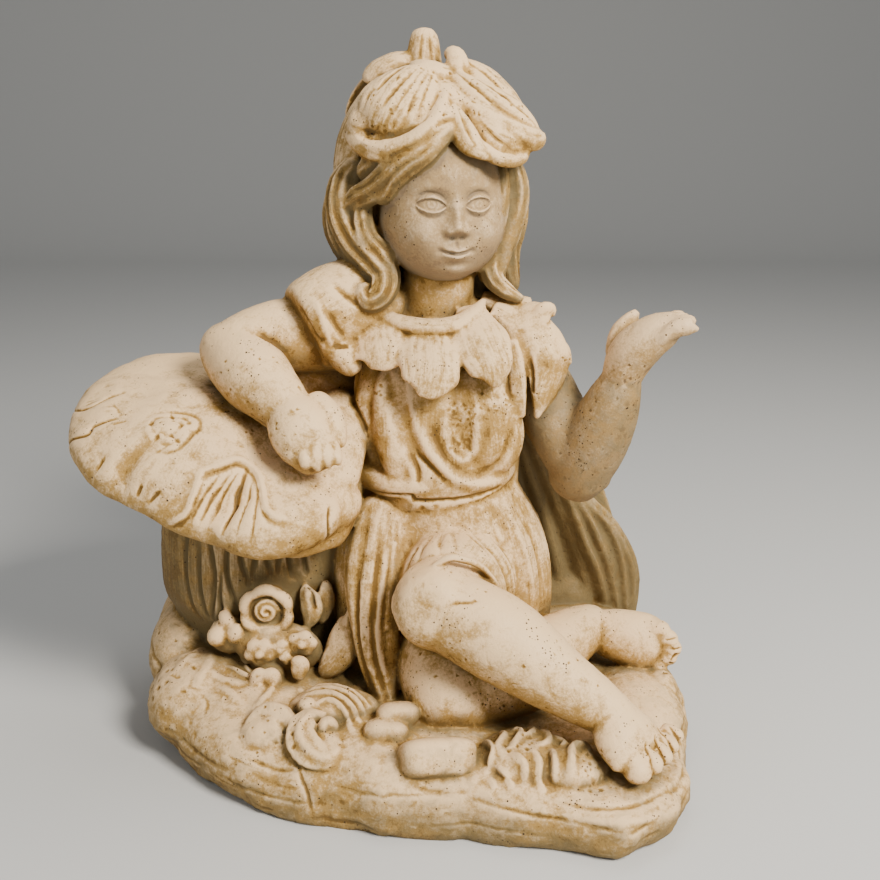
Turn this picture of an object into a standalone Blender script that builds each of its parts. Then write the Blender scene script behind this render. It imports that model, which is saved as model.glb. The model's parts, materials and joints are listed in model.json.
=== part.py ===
"""Garden statue: a fairy girl sitting on a rock beside a mushroom, cast in one piece.

Metres, +Z up, the front faces -Y. The origin lies on the flat underside.
Every mass is a closed clay form; the forms are fused into one solid and cut flat below.
"""

import bpy
import bmesh
import math
import numpy as np
from mathutils import Matrix, Vector

MM = 0.001

# ---------------------------------------------------------------- driving dimensions (mm)
STATUE_HEIGHT = 545.0
BASE_HEIGHT = 56.0
BASE_TUCK = 9.0
STEM_FOOT_RADIUS = 56.0
STEM_HEAD_RADIUS = 74.0
CAP_RADIUS = 118.0
CAP_THICKNESS = 47.0
CAP_DOME = 24.0
CAP_TILT = (15.0, 17.0, 0.0)
HEAD_HALF_WIDTH = 46.0
HEAD_HALF_HEIGHT = 58.0
NECK_RADIUS = 29.0
ARM_RADIUS = 27.0
WRIST_RADIUS = 18.0
KNEE_RADIUS = 37.0
CALF_RADIUS = 31.0
ANKLE_RADIUS = 20.0
PETAL_THICKNESS = 5.0

# Resolution of the cast solid.
CLAY_CELL = 3.4 * MM
SKIN_SMOOTHING = 3
TRIANGLE_BUDGET = 9300

# ---------------------------------------------------------------- named places (mm)
STEM_FOOT = (-121, 55, 20)
STEM_HEAD = (-116, 46, 212)
CAP_CENTRE = (-127, 20, 234)
PELVIS = (48, 22, 88)
WAIST = (44, 24, 196)
CHEST = (41, 27, 266)
NECK_BASE = (36, 32, 322)
HEAD_CENTRE = (40, 24, 420)
RIGHT_SHOULDER = (-30, 32, 312)
RIGHT_ELBOW = (-116, 4, 310)
RIGHT_WRIST = (-68, -47, 275)
LEFT_SHOULDER = (98, 32, 318)
LEFT_ELBOW = (150, 2, 218)
LEFT_WRIST = (174, -20, 290)
RIGHT_KNEE = (38, -78, 138)
RIGHT_ANKLE = (163, -128, 76)
LEFT_KNEE = (50, -68, 66)
LEFT_ANKLE = (158, -2, 82)
ROSE_CENTRE = (-95, -28, 112)

FRONT = (0, -1, 0)
UP = (0, 0, 1)


# ---------------------------------------------------------------- clay tools
def curve_through(points, at):
    """Read a smooth curve through the points at each parameter of `at`, from 0 to 1."""
    pts = np.array(points, dtype=float)
    if pts.ndim == 1:
        pts = pts[:, None]
    if len(pts) == 1:
        return np.repeat(pts, len(at), axis=0)
    padded = np.vstack([2 * pts[0] - pts[1], pts, 2 * pts[-1] - pts[-2]])
    span = np.clip(np.asarray(at) * (len(pts) - 1), 0, len(pts) - 1 - 1e-9)
    i = span.astype(int)
    t = (span - i)[:, None]
    p0, p1, p2, p3 = (padded[i + k] for k in range(4))
    return 0.5 * (2 * p1 + (p2 - p0) * t + (2 * p0 - 5 * p1 + 4 * p2 - p3) * t ** 2
                  + (3 * p1 - 3 * p2 + p3 - p0) * t ** 3)


def unit(rows):
    """Rows of vectors scaled to length one."""
    return rows / np.maximum(np.linalg.norm(rows, axis=1, keepdims=True), 1e-12)


def add_form(bm, sides, rings, shape):
    """Shape a round blank and join it to the clay.

    shape takes the way round the blank (cosine and sine) and the angle down from its top,
    and gives each vertex's place in millimetres.
    """
    blank = bmesh.new()
    bmesh.ops.create_uvsphere(blank, u_segments=sides, v_segments=rings, radius=1.0)
    co = np.array([vert.co for vert in blank.verts])
    polar = np.arccos(np.clip(co[:, 2], -1, 1))
    ring = np.maximum(np.hypot(co[:, 0], co[:, 1]), 1e-9)
    for vert, spot in zip(blank.verts, shape(co[:, 0] / ring, co[:, 1] / ring, polar)):
        vert.co = Vector(spot) * MM
    mesh = bpy.data.meshes.new("blank")
    blank.to_mesh(mesh)
    blank.free()
    bm.from_mesh(mesh)
    bpy.data.meshes.remove(mesh)


def along_path(sizes, s):
    """A half size, given once or as a list read evenly along the path."""
    return curve_through(sizes, s)[:, 0] if hasattr(sizes, "__len__") else sizes


def limb(bm, path, wide, thick=None, facing=FRONT, blunt=0.4, curl=0.0, flutes=None,
         sides=14, rings=16):
    """A closed form swept along a path.

    wide and thick are half sizes across and along `facing`, read evenly along the path.
    blunt shapes the ends: 1 is an ellipsoid, a small number a round-ended bar. curl
    lifts the long edges towards the facing side. flutes is (count, depth) of folds.
    """
    def shape(a, b, polar):
        s = (1 - np.cos(polar)) / 2
        centre = curve_through(path, s)
        ahead = curve_through(path, np.minimum(s + 0.02, 1))
        behind = curve_through(path, np.maximum(s - 0.02, 0))
        along = unit(ahead - behind)
        normal = curve_through(facing if hasattr(facing[0], "__len__") else [facing], s)
        normal = unit(normal - along * np.sum(normal * along, axis=1, keepdims=True))
        across = np.cross(along, normal)
        w = along_path(wide, s)
        h = w if thick is None else along_path(thick, s)
        end = np.sin(polar) ** blunt
        if flutes:
            end = end * (1 + flutes[1] * np.cos(flutes[0] * np.arctan2(b, a)) * end)
        return (centre + across * (a * w * end)[:, None]
                + normal * (b * h * end + curl * (a * end) ** 2 * w)[:, None])

    add_form(bm, sides, rings, shape)


def bone(bm, path, wide, thick=None, facing=FRONT, sides=20, rings=18):
    """A limb of the body: its rounded ends run past the joints by most of a radius."""
    pts = [np.array(p, dtype=float) for p in path]
    first = pts[0] + unit((pts[0] - pts[1])[None])[0] * wide[0] * 0.85
    last = pts[-1] + unit((pts[-1] - pts[-2])[None])[0] * wide[-1] * 0.85
    radii = [wide[0] * 0.96, *wide[1:-1], wide[-1] * 0.96]
    limb(bm, [first, *pts[1:-1], last], radii, thick, facing, blunt=0.42, sides=sides,
         rings=rings)


def blob(bm, centre, sizes, turn=(0, 0, 0), sides=18, rings=12):
    """An ellipsoid with the given half sizes, turned by degrees about X, Y and Z."""
    spin = turned(turn)

    def shape(a, b, polar):
        co = np.stack([a * np.sin(polar), b * np.sin(polar), np.cos(polar)], axis=1)
        return (co * sizes) @ spin.T + np.array(centre)

    add_form(bm, sides, rings, shape)


def turned(degrees):
    """The rotation by degrees about X, then Y, then Z."""
    spin = Matrix.Identity(3)
    for angle, axis in zip(degrees, "XYZ"):
        spin = Matrix.Rotation(math.radians(angle), 3, axis) @ spin
    return np.array(spin)


def petal(bm, path, wide, facing, curl=0.25, thick=PETAL_THICKNESS, sides=16, rings=16):
    """A thin leaf of clay along a path, with its edges curled."""
    limb(bm, path, wide, thick / 2, facing, blunt=0.6, curl=curl, sides=sides, rings=rings)


# ---------------------------------------------------------------- rock base
def outline_at(angle, corners):
    """Radius of a closed outline at each angle, smooth through its (x, y) corners."""
    pts = np.array(corners, dtype=float)
    turn = np.arctan2(pts[:, 1], pts[:, 0])
    order = np.argsort(turn)
    turn, reach = turn[order], np.hypot(pts[:, 0], pts[:, 1])[order]
    turn = np.concatenate([turn - 2 * np.pi, turn, turn + 2 * np.pi])
    return np.interp(angle, turn, np.tile(reach, 3))


def add_base(bm):
    """The rock: a tucked foot, a bulging side with worn beds, and a humped top."""
    corners = [(-190, -8), (-158, -86), (-112, -126), (-40, -151), (60, -168),
               (122, -184), (168, -194), (208, -166), (230, -80), (236, 10), (214, 84),
               (150, 130), (40, 146), (-80, 148), (-160, 128), (-196, 66)]

    def shape(a, b, polar):
        angle = np.arctan2(b, a)
        level = (1 - np.cos(polar)) / 2
        height = BASE_HEIGHT * (1.25 * (1 - level) - 0.25)
        swell = np.sin(polar) ** 0.25
        tuck = BASE_TUCK * np.clip(1 - np.abs(height - 20) / 20, -1.6, 1)
        beds = 2.2 * np.sin(height / 7.5 + 2.1 * np.sin(angle * 2) + 0.6)
        beds = beds * (height < BASE_HEIGHT - 6)
        r = np.maximum(outline_at(angle, corners) - BASE_TUCK + tuck + beds, 0) * swell
        return np.stack([r * a, r * b, height], axis=1)

    add_form(bm, 96, 30, shape)
    humps = [((-168, 34, 44), (40, 62, 34)), ((-142, -40, 36), (46, 46, 30)),
             ((-64, -78, 34), (58, 48, 26)), ((30, -112, 28), (60, 40, 24)),
             ((150, -118, 24), (62, 54, 22)), ((194, -40, 30), (38, 70, 28)),
             ((150, 60, 40), (70, 62, 26)), ((30, 90, 44), (90, 52, 26)),
             ((-120, 84, 46), (80, 60, 34))]
    for centre, sizes in humps:
        blob(bm, centre, sizes)


def add_ground_cover(bm):
    """Grass tufts, leaf curls and pebbles in front of the knee."""
    blob(bm, (9, -99, 60), (17, 12, 10), (-14, 0, 10))
    blob(bm, (1, -113, 53), (18, 13, 11), (-16, 0, -8))
    blob(bm, (38, -137, 48), (29, 21, 15), (-30, 4, 12))
    tufts = 9
    for k in range(tufts):
        x = 70 + 8 * k
        y = -120 - 3 * k + 6 * math.sin(2.3 * k)
        lean = 6 * math.sin(1.7 * k + 0.4)
        limb(bm, [(x, y, 30), (x + lean * 0.4, y - 4, 48), (x + lean, y - 9, 58)],
             [6.5, 6, 3], blunt=0.5, sides=8, rings=8)
    leaves = [(-92, -74, 24), (-62, -84, 22), (-36, -70, 20), (-76, -52, 18)]
    for x, y, size in leaves:
        limb(bm, [(x - size, y + 8, 52), (x, y - 2, 64), (x + size * 0.8, y - 6, 54)],
             [6, 9, 5], 5, facing=UP, sides=10, rings=10)


# ---------------------------------------------------------------- mushroom
def add_stem(bm):
    """The stem, wider at its head, with broad upright flutes."""
    foot, head = np.array(STEM_FOOT), np.array(STEM_HEAD)
    path = [foot, (foot + head) / 2, head]
    wide = [STEM_FOOT_RADIUS, STEM_HEAD_RADIUS * 0.98, STEM_HEAD_RADIUS]
    limb(bm, path, wide, flutes=(11, 0.035), blunt=0.18, sides=66, rings=24)


def add_cap(bm):
    """The cap: a tilted, lobed cushion with a rolled rim and a low dome."""
    spin = turned(CAP_TILT)

    def shape(a, b, polar):
        angle = np.arctan2(b, a)
        lobes = 1 - 0.04 * np.cos(3 * angle + 0.4) + 0.02 * np.cos(7 * angle)
        reach = CAP_RADIUS * lobes * np.sin(polar) ** 0.62
        dome = CAP_DOME * (1 - (reach / CAP_RADIUS) ** 2)
        z = CAP_THICKNESS / 2 * np.sign(np.cos(polar)) * np.abs(np.cos(polar)) ** 0.8
        co = np.stack([reach * a, reach * b, z + dome], axis=1)
        return co @ spin.T + np.array(CAP_CENTRE)

    add_form(bm, 72, 28, shape)
    limb(bm, [(-208, -2, 256), (-178, -38, 230), (-140, -62, 208)], [14, 26, 16], 17,
         facing=(-0.3, -0.8, 0.5), rings=14)
    limb(bm, [(-112, -76, 198), (-76, -80, 196), (-34, -62, 198)], [14, 22, 20], 16,
         facing=(0, -0.8, 0.6), rings=14)
    limb(bm, [(-50, 34, 286), (-36, -6, 252), (-24, -42, 206)], [20, 27, 24], 22,
         facing=(0, -1, 0.4), rings=14)


def add_flowers(bm):
    """The rose on the stem, its leaves and the small flowers below it."""
    rose = np.array(ROSE_CENTRE)
    blob(bm, rose, (20, 14, 19))
    for k in range(6):
        turn = math.radians(60 * k + 15)
        out = np.array([math.cos(turn), -0.25, math.sin(turn)])
        limb(bm, [rose + out * 9, rose + out * 19], [10, 11], 5, facing=FRONT, blunt=0.8,
             sides=10, rings=8)
    blob(bm, (-88, -28, 80), (36, 16, 24))
    blob(bm, (-126, -24, 92), (18, 14, 17))
    small = [(-100, -43, 81), (-84, -43, 84), (-67, -42, 88), (-94, -50, 66)]
    for centre in small:
        blob(bm, centre, (11, 9, 10), sides=12, rings=8)
    for x, low_x in ((-61, -64), (-51, -55)):
        limb(bm, [(x - 3, -12, 126), (x, -20, 110), (low_x, -24, 94)], [6, 10, 5], 5,
             facing=(0, -1, 0), sides=10, rings=8)


# ---------------------------------------------------------------- figure
def add_torso(bm):
    """Blouse, belt line, shoulders and neck."""
    limb(bm, [PELVIS, WAIST, CHEST, NECK_BASE], [72, 60, 64, 30], [52, 40, 44, 30],
         blunt=0.25, sides=28, rings=24)
    limb(bm, [(44, 20, 196), (44, 18, 224), (42, 26, 282), (38, 32, 318)],
         [58, 69, 66, 38], [38, 47, 44, 28], blunt=0.35, sides=32, rings=22)
    limb(bm, [RIGHT_SHOULDER, (36, 34, 322), LEFT_SHOULDER], [24, 28, 24], [24, 30, 24],
         facing=UP, sides=18, rings=16)
    for drop, width in ((266, 36), (246, 44), (228, 52)):
        limb(bm, [(44 - width, -2, drop + 26), (44 - width * 0.5, -19, drop),
                  (48, -23, drop - 12), (46 + width * 0.6, -17, drop + 2),
                  (44 + width, 2, drop + 24)], [5, 7, 7, 7, 5], sides=10, rings=24)
    limb(bm, [(36, 34, 306), (38, 30, 350), (41, 26, 384)], NECK_RADIUS, blunt=0.2,
         sides=20, rings=12)


def add_skirt(bm):
    """The skirt from the belt over the hips, its pleats and the fall beside the knee."""
    limb(bm, [(-22, 30, 296), (-26, 20, 240), (-22, 12, 190), (-24, 4, 120)],
         [14, 20, 22, 24], sides=18, rings=18)
    limb(bm, [(44, 22, 202), (50, 20, 160), (56, 20, 112), (58, 22, 62)],
         [60, 68, 78, 82], [42, 52, 62, 66], flutes=(15, 0.055), blunt=0.16,
         sides=60, rings=26)
    limb(bm, [(30, -8, 168), (36, -46, 152), (40, -74, 138)], [42, 45, 38], [36, 40, 36],
         facing=UP, sides=24, rings=14)
    limb(bm, [(96, 0, 176), (112, -18, 132), (112, -22, 92)], [26, 30, 24], [22, 26, 20],
         sides=18, rings=14)
    pleats = 5
    for k in range(pleats):
        t = k / (pleats - 1)
        top = np.array([-16 + 62 * t, -6 - 16 * math.sin(math.pi * t), 190])
        low = top + (-4 + 6 * t, -14 - 20 * t, -44 + 8 * t)
        limb(bm, [top, (top + low) / 2, low], [6, 8, 7], sides=10, rings=10)
    limb(bm, [(0, -8, 202), (-4, -14, 184), (-10, -30, 147), (-10, -40, 107),
              (-7, -48, 75), (0, -60, 46)], [22, 25, 24, 20, 17, 12],
         [11, 15, 17, 16, 15, 13], flutes=(9, 0.05), blunt=0.25, sides=40, rings=24)
    limb(bm, [(-24, -26, 116), (-30, -34, 90), (-42, -38, 72), (-54, -40, 60)],
         [9, 11, 12, 7], 7, facing=(-0.3, -1, 0.3))
    limb(bm, [(6, -88, 112), (18, -100, 150), (44, -92, 172), (72, -72, 160),
              (90, -62, 132)], [6, 6, 6, 6, 5], sides=10, rings=24)
    limb(bm, [(-16, -2, 199), (14, -18, 199), (44, -24, 200), (76, -16, 199),
              (104, 4, 199)], [6, 8, 9, 8, 6], sides=10, rings=24)


def add_legs(bm):
    """Both legs: the right one crosses on top, the left one lies under it."""
    bone(bm, [(62, 10, 112), (52, -34, 124), RIGHT_KNEE], [42, 40, KNEE_RADIUS])
    bone(bm, [RIGHT_KNEE, (80, -96, 122), (124, -116, 98), RIGHT_ANKLE],
         [KNEE_RADIUS, CALF_RADIUS + 2, 25, ANKLE_RADIUS], rings=22)
    bone(bm, [(60, 8, 80), (46, -30, 76), LEFT_KNEE], [40, 40, KNEE_RADIUS])
    bone(bm, [LEFT_KNEE, (94, -53, 68), (128, -25, 76), LEFT_ANKLE],
         [KNEE_RADIUS, CALF_RADIUS, 27, 22], rings=22)


def add_foot(bm, ankle, ball_of_foot, toes, sole, spread):
    """A bare foot: heel, instep and five toes fanned along `spread`."""
    ankle, front, tip = (np.array(p, dtype=float) for p in (ankle, ball_of_foot, toes))
    side = unit(np.array([spread], dtype=float))[0]
    down = unit(np.array([sole], dtype=float))[0]
    limb(bm, [ankle + down * 2, (ankle + front) / 2 + down * 5, front], [20, 23, 24],
         [21, 16, 11], facing=-down, blunt=0.5, sides=18, rings=14)
    for k in range(5):
        lane = (k - 2) / 2
        root = front + side * lane * 17
        reach = (tip - front) * (1.0 - 0.09 * k)
        size = 8.5 if k == 0 else 6.2 - 0.3 * k
        limb(bm, [root, root + reach * 0.6, root + reach + down * 3], [size, size, size],
             facing=-down, blunt=0.5, sides=8, rings=8)


def add_arms(bm):
    """The right arm rests on the cap; the left one is raised with an open hand."""
    bone(bm, [RIGHT_SHOULDER, (-74, 22, 319), RIGHT_ELBOW], [27, ARM_RADIUS + 2, ARM_RADIUS])
    bone(bm, [RIGHT_ELBOW, (-100, -18, 298), (-82, -36, 286), RIGHT_WRIST],
         [ARM_RADIUS, ARM_RADIUS, 23.5, 20])
    limb(bm, [(-74, -42, 280), (-62, -56, 268), (-52, -67, 254), (-46, -70, 238)],
         [20, 23, 21, 14], [20, 20, 15, 11], facing=(0.1, -1, 0.7), sides=18, rings=14)
    for k in range(4):
        x = -55 + 7.4 * k
        y = -79 + 2 * k
        limb(bm, [(x - 1.5, y + 9, 261), (x, y, 255), (x + 0.6, y - 3, 248), (x + 1, y + 1, 242)],
             [4.4, 5, 4.8, 4], blunt=0.5, sides=8, rings=8)
    limb(bm, [(-54, -38, 286), (-42, -50, 272), (-33, -60, 252)], [11, 13, 10], 10,
         blunt=0.5, sides=10, rings=10)
    bone(bm, [LEFT_SHOULDER, (124, 20, 268), LEFT_ELBOW], [26, 26, 28])
    bone(bm, [LEFT_ELBOW, (165, -10, 254), LEFT_WRIST], [28, 26, WRIST_RADIUS])
    limb(bm, [(173, -18, 284), (176, -20, 300), (182, -21, 314), (193, -25, 326),
              (206, -28, 334), (216, -31, 338)], [17, 19, 21, 21, 19, 12],
         [17, 17, 17, 15, 12, 8], facing=(0.75, 0.1, -0.65), sides=20, rings=18)
    for k in range(4):
        y = -14 - 9.4 * k
        limb(bm, [(194, y, 325), (206, y - 2, 334 + 0.6 * k), (214 + 1.5 * k, y - 3, 339),
                  (219 + k, y - 3, 337)], [6, 6.4, 6.2, 5.2], facing=UP, blunt=0.45,
             sides=8, rings=10)
    limb(bm, [(172, -10, 304), (175, -5, 322), (181, -3, 333), (187, -3, 343)],
         [11, 10, 8, 4], [9, 8, 6.5, 4], blunt=0.5, sides=10, rings=10)


def add_sleeves(bm):
    """Short sleeves with pointed, scalloped cuffs."""
    limb(bm, [(0, 34, 326), (-30, 26, 340), (-64, 10, 326)], [36, 37, 37], facing=UP,
         flutes=(3, 0.03), blunt=0.1, sides=42, rings=14)
    limb(bm, [(90, 30, 324), (106, 24, 304), (118, 18, 288)], [29, 31, 29], blunt=0.16,
         sides=42, rings=14)
    limb(bm, [(96, 16, 340), (112, 6, 326), (122, 0, 310), (123, -2, 298),
              (119, -7, 282), (113, -10, 261)], [12, 17, 19, 18, 12, 4], 6.5,
         facing=(0.5, -1, 0.1), blunt=0.22, curl=-0.22)
    petal(bm, [(92, -2, 320), (95, -8, 300), (98, -11, 280), (100, -11, 262)],
          [8, 9, 8, 6], (-0.2, -1, 0), thick=9)


# ---------------------------------------------------------------- head, hair and hat
def add_head(bm):
    """Skull, cheeks, nose and chin of a calm child's face on plain proportions."""
    head = np.array(HEAD_CENTRE)
    blob(bm, head + (0, 6, 6), (HEAD_HALF_WIDTH + 4, 54, HEAD_HALF_HEIGHT), sides=28,
         rings=20)
    blob(bm, head + (3, -10, -20), (HEAD_HALF_WIDTH - 3, 38, 38), sides=24, rings=16)
    blob(bm, head + (4, -36, -45), (13, 11, 9))
    blob(bm, head + (5, -50, -12), (6, 7, 9))
    for side in (-1, 1):
        blob(bm, head + (4 + side * 21, -30, -20), (16, 15, 14))


def add_hair(bm):
    """Wavy locks down to the shoulders and a full back of hair."""
    head = np.array(HEAD_CENTRE)
    blob(bm, head + (-6, 22, 8), (52, 52, 60), sides=28, rings=20)
    limb(bm, [(34, 64, 440), (32, 78, 392), (34, 74, 350), (36, 60, 314)],
         [46, 54, 52, 40], [24, 26, 22, 14], facing=(0, 1, 0), flutes=(13, 0.05),
         blunt=0.3, sides=52, rings=20)
    locks = [
        ([(-26, 34, 452), (-34, 32, 428), (-28, 28, 392), (-20, 24, 374), (-28, 18, 360)],
         [9, 12, 11, 10, 6]),
        ([(-10, 14, 444), (-20, 12, 410), (-8, 4, 388), (4, -2, 371), (-12, -4, 352)],
         [10, 13, 13, 12, 6]),
        ([(4, -4, 440), (-5, -2, 413), (-3, 2, 391), (3, 6, 370)], [6, 8, 8, 6]),
        ([(-18, 46, 440), (-28, 52, 400), (-24, 48, 370), (-34, 40, 344)], [14, 16, 14, 8]),
        ([(92, 22, 452), (94, 24, 425), (89, 22, 400), (80, 20, 372), (98, 14, 347)],
         [8, 10, 11, 10, 6]),
        ([(86, 10, 446), (84, 12, 411), (79, 14, 384), (76, 14, 362)], [6, 8, 8, 6]),
        ([(86, 46, 450), (92, 50, 410), (88, 46, 376), (96, 40, 346)], [14, 15, 14, 8]),
    ]
    for path, wide in locks:
        limb(bm, path, wide, facing=(0, -1, 0.1), sides=12, rings=20)
    blob(bm, (-40, 10, 368), (9, 9, 9), sides=12, rings=8)
    blob(bm, (-18, 34, 448), (18, 24, 28), sides=16, rings=12)
    blob(bm, (84, 36, 448), (16, 24, 28), sides=16, rings=12)
    limb(bm, [(46, -18, 478), (24, -20, 468), (8, -14, 456), (0, -8, 438), (6, -10, 428)],
         [8, 11, 10, 8, 5], 9, facing=(-0.2, -1, 0.2), sides=12, rings=18)


def add_hat(bm):
    """The upturned flower worn as a hat: stub, knot and drooping petals."""
    top = STATUE_HEIGHT
    limb(bm, [(29, 50, top - 36), (28, 54, top - 18), (28, 57, top)], [16, 13, 12],
         sides=14, rings=12)
    limb(bm, [(18, 36, 514), (28, 26, 513), (40, 24, 510), (49, 26, 508)], [5, 10, 11, 6],
         8, facing=(0, -0.4, 1), sides=12, rings=10)
    limb(bm, [(49, 24, 503), (53, 26, 514), (51, 32, 523), (44, 36, 526)], [5, 8, 8, 5],
         6, facing=(0.3, -1, 0.3), sides=12, rings=10)
    blob(bm, (34, 40, 476), (52, 52, 36), sides=28, rings=16)
    petals = [
        ([(26, 50, 523), (8, 52, 522), (-7, 52, 516), (-16, 48, 506)], [9, 13, 14, 9],
         (-0.3, -0.4, 1), 10),
        ([(2, 46, 508), (-16, 44, 492), (-28, 40, 470), (-34, 36, 446), (-35, 34, 428)],
         [14, 20, 22, 18, 9], (-0.9, -0.5, 0.2), 9),
        ([(30, 56, 516), (4, 74, 500), (-8, 86, 474), (-8, 84, 444)], [14, 30, 30, 12],
         (-0.3, 1, 0.4), 10),
        ([(42, 56, 516), (62, 72, 500), (74, 82, 472), (76, 78, 442)], [14, 28, 28, 12],
         (0.5, 0.9, 0.4), 10),
        ([(54, 44, 520), (72, 36, 511), (88, 30, 496), (101, 26, 480)], [10, 17, 20, 14],
         (0.5, -0.3, 0.8), 12),
        ([(32, 30, 513), (20, 8, 502), (8, -7, 486), (0, -10, 468)], [12, 26, 32, 27],
         (-0.2, -1, 0.45), 22),
        ([(47, 28, 512), (61, 14, 501), (78, 5, 489), (95, 4, 480), (110, 8, 470)],
         [6, 13, 16, 15, 8], (0.25, -0.9, 0.6), 15),
        ([(49, -4, 489), (54, -16, 476), (61, -24, 463), (73, -25, 452)], [4, 8.5, 9, 3],
         (0.05, -1, 0.25), 11),
        ([(60, 0, 486), (73, -10, 472), (86, -13, 462), (99, -4, 458)], [7, 13, 14, 9],
         (0.3, -1, 0.1), 12),
    ]
    for path, wide, facing, thick in petals:
        petal(bm, path, wide, facing, curl=-0.2, thick=thick)
    limb(bm, [(-24, 16, 476), (-21, 4, 466), (-8, -8, 459), (9, -15, 460), (25, -19, 467),
              (36, -17, 478), (42, -7, 491)], [5, 7.5, 9, 9.5, 8.5, 7, 5], sides=12,
         rings=20)
    limb(bm, [(46, 18, 503), (59, 3, 489), (76, -5, 477), (94, -5, 469), (108, 2, 465),
              (113, 12, 468)], [4, 6, 7.5, 8.5, 8.5, 6], sides=12, rings=20)
    blob(bm, (92, 10, 468), (16, 12, 11), (0, 20, 0))
    blob(bm, (-12, 6, 475), (15, 14, 14))


def add_collar(bm):
    """The flower collar: pointed petals laid over the chest and both shoulders."""
    petals = [
        ([(-32, 16, 350), (-36, 4, 336), (-37, -4, 326), (-33, -12, 312)], [8, 12, 11, 3],
         (-0.4, -1, 0.3)),
        ([(-6, 16, 344), (-7, 0, 331), (-6, -13, 318), (-5, -19, 309), (-6, -20, 301)],
         [12, 19, 21, 18, 9], (-0.2, -1, 0.4)),
        ([(62, 8, 344), (69, -12, 326), (76, -24, 310), (80, -28, 300), (81, -29, 290)],
         [14, 21, 20, 13, 4], (0.15, -1, 0.35)),
        ([(32, 4, 334), (32, -20, 318), (33, -30, 305), (32, -36, 294), (29, -38, 284)],
         [17, 22, 23, 18, 7], (0, -1, 0.3)),
        ([(80, 12, 342), (98, 8, 333), (114, 8, 338), (124, 10, 342)], [9, 12, 11, 5],
         (0.1, -1, 0.7)),
        ([(72, 26, 348), (92, 22, 344), (110, 20, 344)], [11, 14, 8], (0.2, -0.5, 1)),
        ([(20, 62, 340), (0, 74, 322), (-8, 76, 290)], [14, 20, 7], (0, 1, 0.3)),
        ([(46, 64, 340), (56, 76, 320), (62, 76, 288)], [14, 20, 7], (0.1, 1, 0.3)),
        ([(74, 50, 344), (92, 56, 332), (106, 56, 308)], [14, 20, 7], (0.4, 0.8, 0.4)),
        ([(-4, 50, 344), (-32, 56, 336), (-50, 56, 314)], [14, 20, 7], (-0.4, 0.8, 0.4)),
    ]
    for path, wide, facing in petals:
        petal(bm, path, wide, facing, curl=-0.12, thick=8)


# ---------------------------------------------------------------- wings
def add_wings(bm):
    """Both folded wings: long overlapping blades from the shoulder blade to the rock."""
    centre = 40.0
    blades = [
        ([(88, 56, 262), (100, 62, 196), (112, 76, 146), (122, 88, 100), (130, 96, 50)], 11),
        ([(92, 56, 262), (112, 62, 196), (129, 77, 146), (143, 89, 100), (153, 97, 50)], 11),
        ([(96, 56, 262), (124, 62, 196), (146, 78, 146), (164, 90, 102), (176, 98, 58)], 10),
        ([(104, 58, 240), (142, 64, 178), (163, 78, 128), (180, 90, 90), (192, 98, 52)], 9),
        ([(112, 60, 224), (152, 66, 172), (175, 80, 128), (190, 92, 89), (202, 99, 48)], 8),
        ([(118, 64, 210), (162, 70, 166), (186, 84, 134), (200, 94, 98), (210, 100, 44)], 7.5),
        ([(122, 68, 200), (170, 76, 158), (195, 90, 124), (210, 98, 88), (214, 104, 40)], 6.5),
    ]
    for path, wide in blades:
        limb(bm, path, [wide * 0.7, wide, wide * 1.1, wide * 1.15, wide], [9, 13, 13, 12, 9],
             facing=(0.5, -1, 0.3), blunt=0.3, sides=12, rings=16)
        left = [(centre - 0.86 * (x - centre), y + 14, z) for x, y, z in path]
        limb(bm, left, wide * 1.05, 11, facing=(-0.5, 1, 0.3), blunt=0.3, sides=12, rings=16)
    for side in (-1, 1):
        reach = 0.88 if side < 0 else 1.0
        limb(bm, [(40 + side * reach * 50, 74, 250), (40 + side * reach * 104, 92, 168),
                  (40 + side * reach * 140, 108, 60)], [24, 40, 36], 9,
             facing=(side * 0.5, 1, 0), blunt=0.4)


# ---------------------------------------------------------------- casting
def new_object(name, mesh):
    """Link a mesh into the scene under a name."""
    obj = bpy.data.objects.new(name, mesh)
    bpy.context.scene.collection.objects.link(obj)
    return obj


def evaluated(obj, name):
    """A plain mesh copy of the object with its modifiers worked out."""
    graph = bpy.context.evaluated_depsgraph_get()
    mesh = bpy.data.meshes.new_from_object(obj.evaluated_get(graph))
    mesh.name = name
    return mesh


def cast(bm, name):
    """Fuse the clay forms into one skin, ease it, thin it and cut it flat below."""
    mesh = bpy.data.meshes.new(name + "_clay")
    bm.to_mesh(mesh)
    clay = new_object(name + "_clay", mesh)
    skin = clay.modifiers.new("fuse", "REMESH")
    skin.mode = "VOXEL"
    skin.voxel_size = CLAY_CELL
    ease = clay.modifiers.new("ease", "SMOOTH")
    ease.factor = 0.5
    ease.iterations = SKIN_SMOOTHING
    fused = evaluated(clay, name + "_fused")
    triangles = sum(len(p.vertices) - 2 for p in fused.polygons)
    thin = clay.modifiers.new("thin", "DECIMATE")
    thin.ratio = TRIANGLE_BUDGET / triangles
    solid = evaluated(clay, name)
    bpy.data.objects.remove(clay)
    bpy.data.meshes.remove(fused)
    return solid


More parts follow.
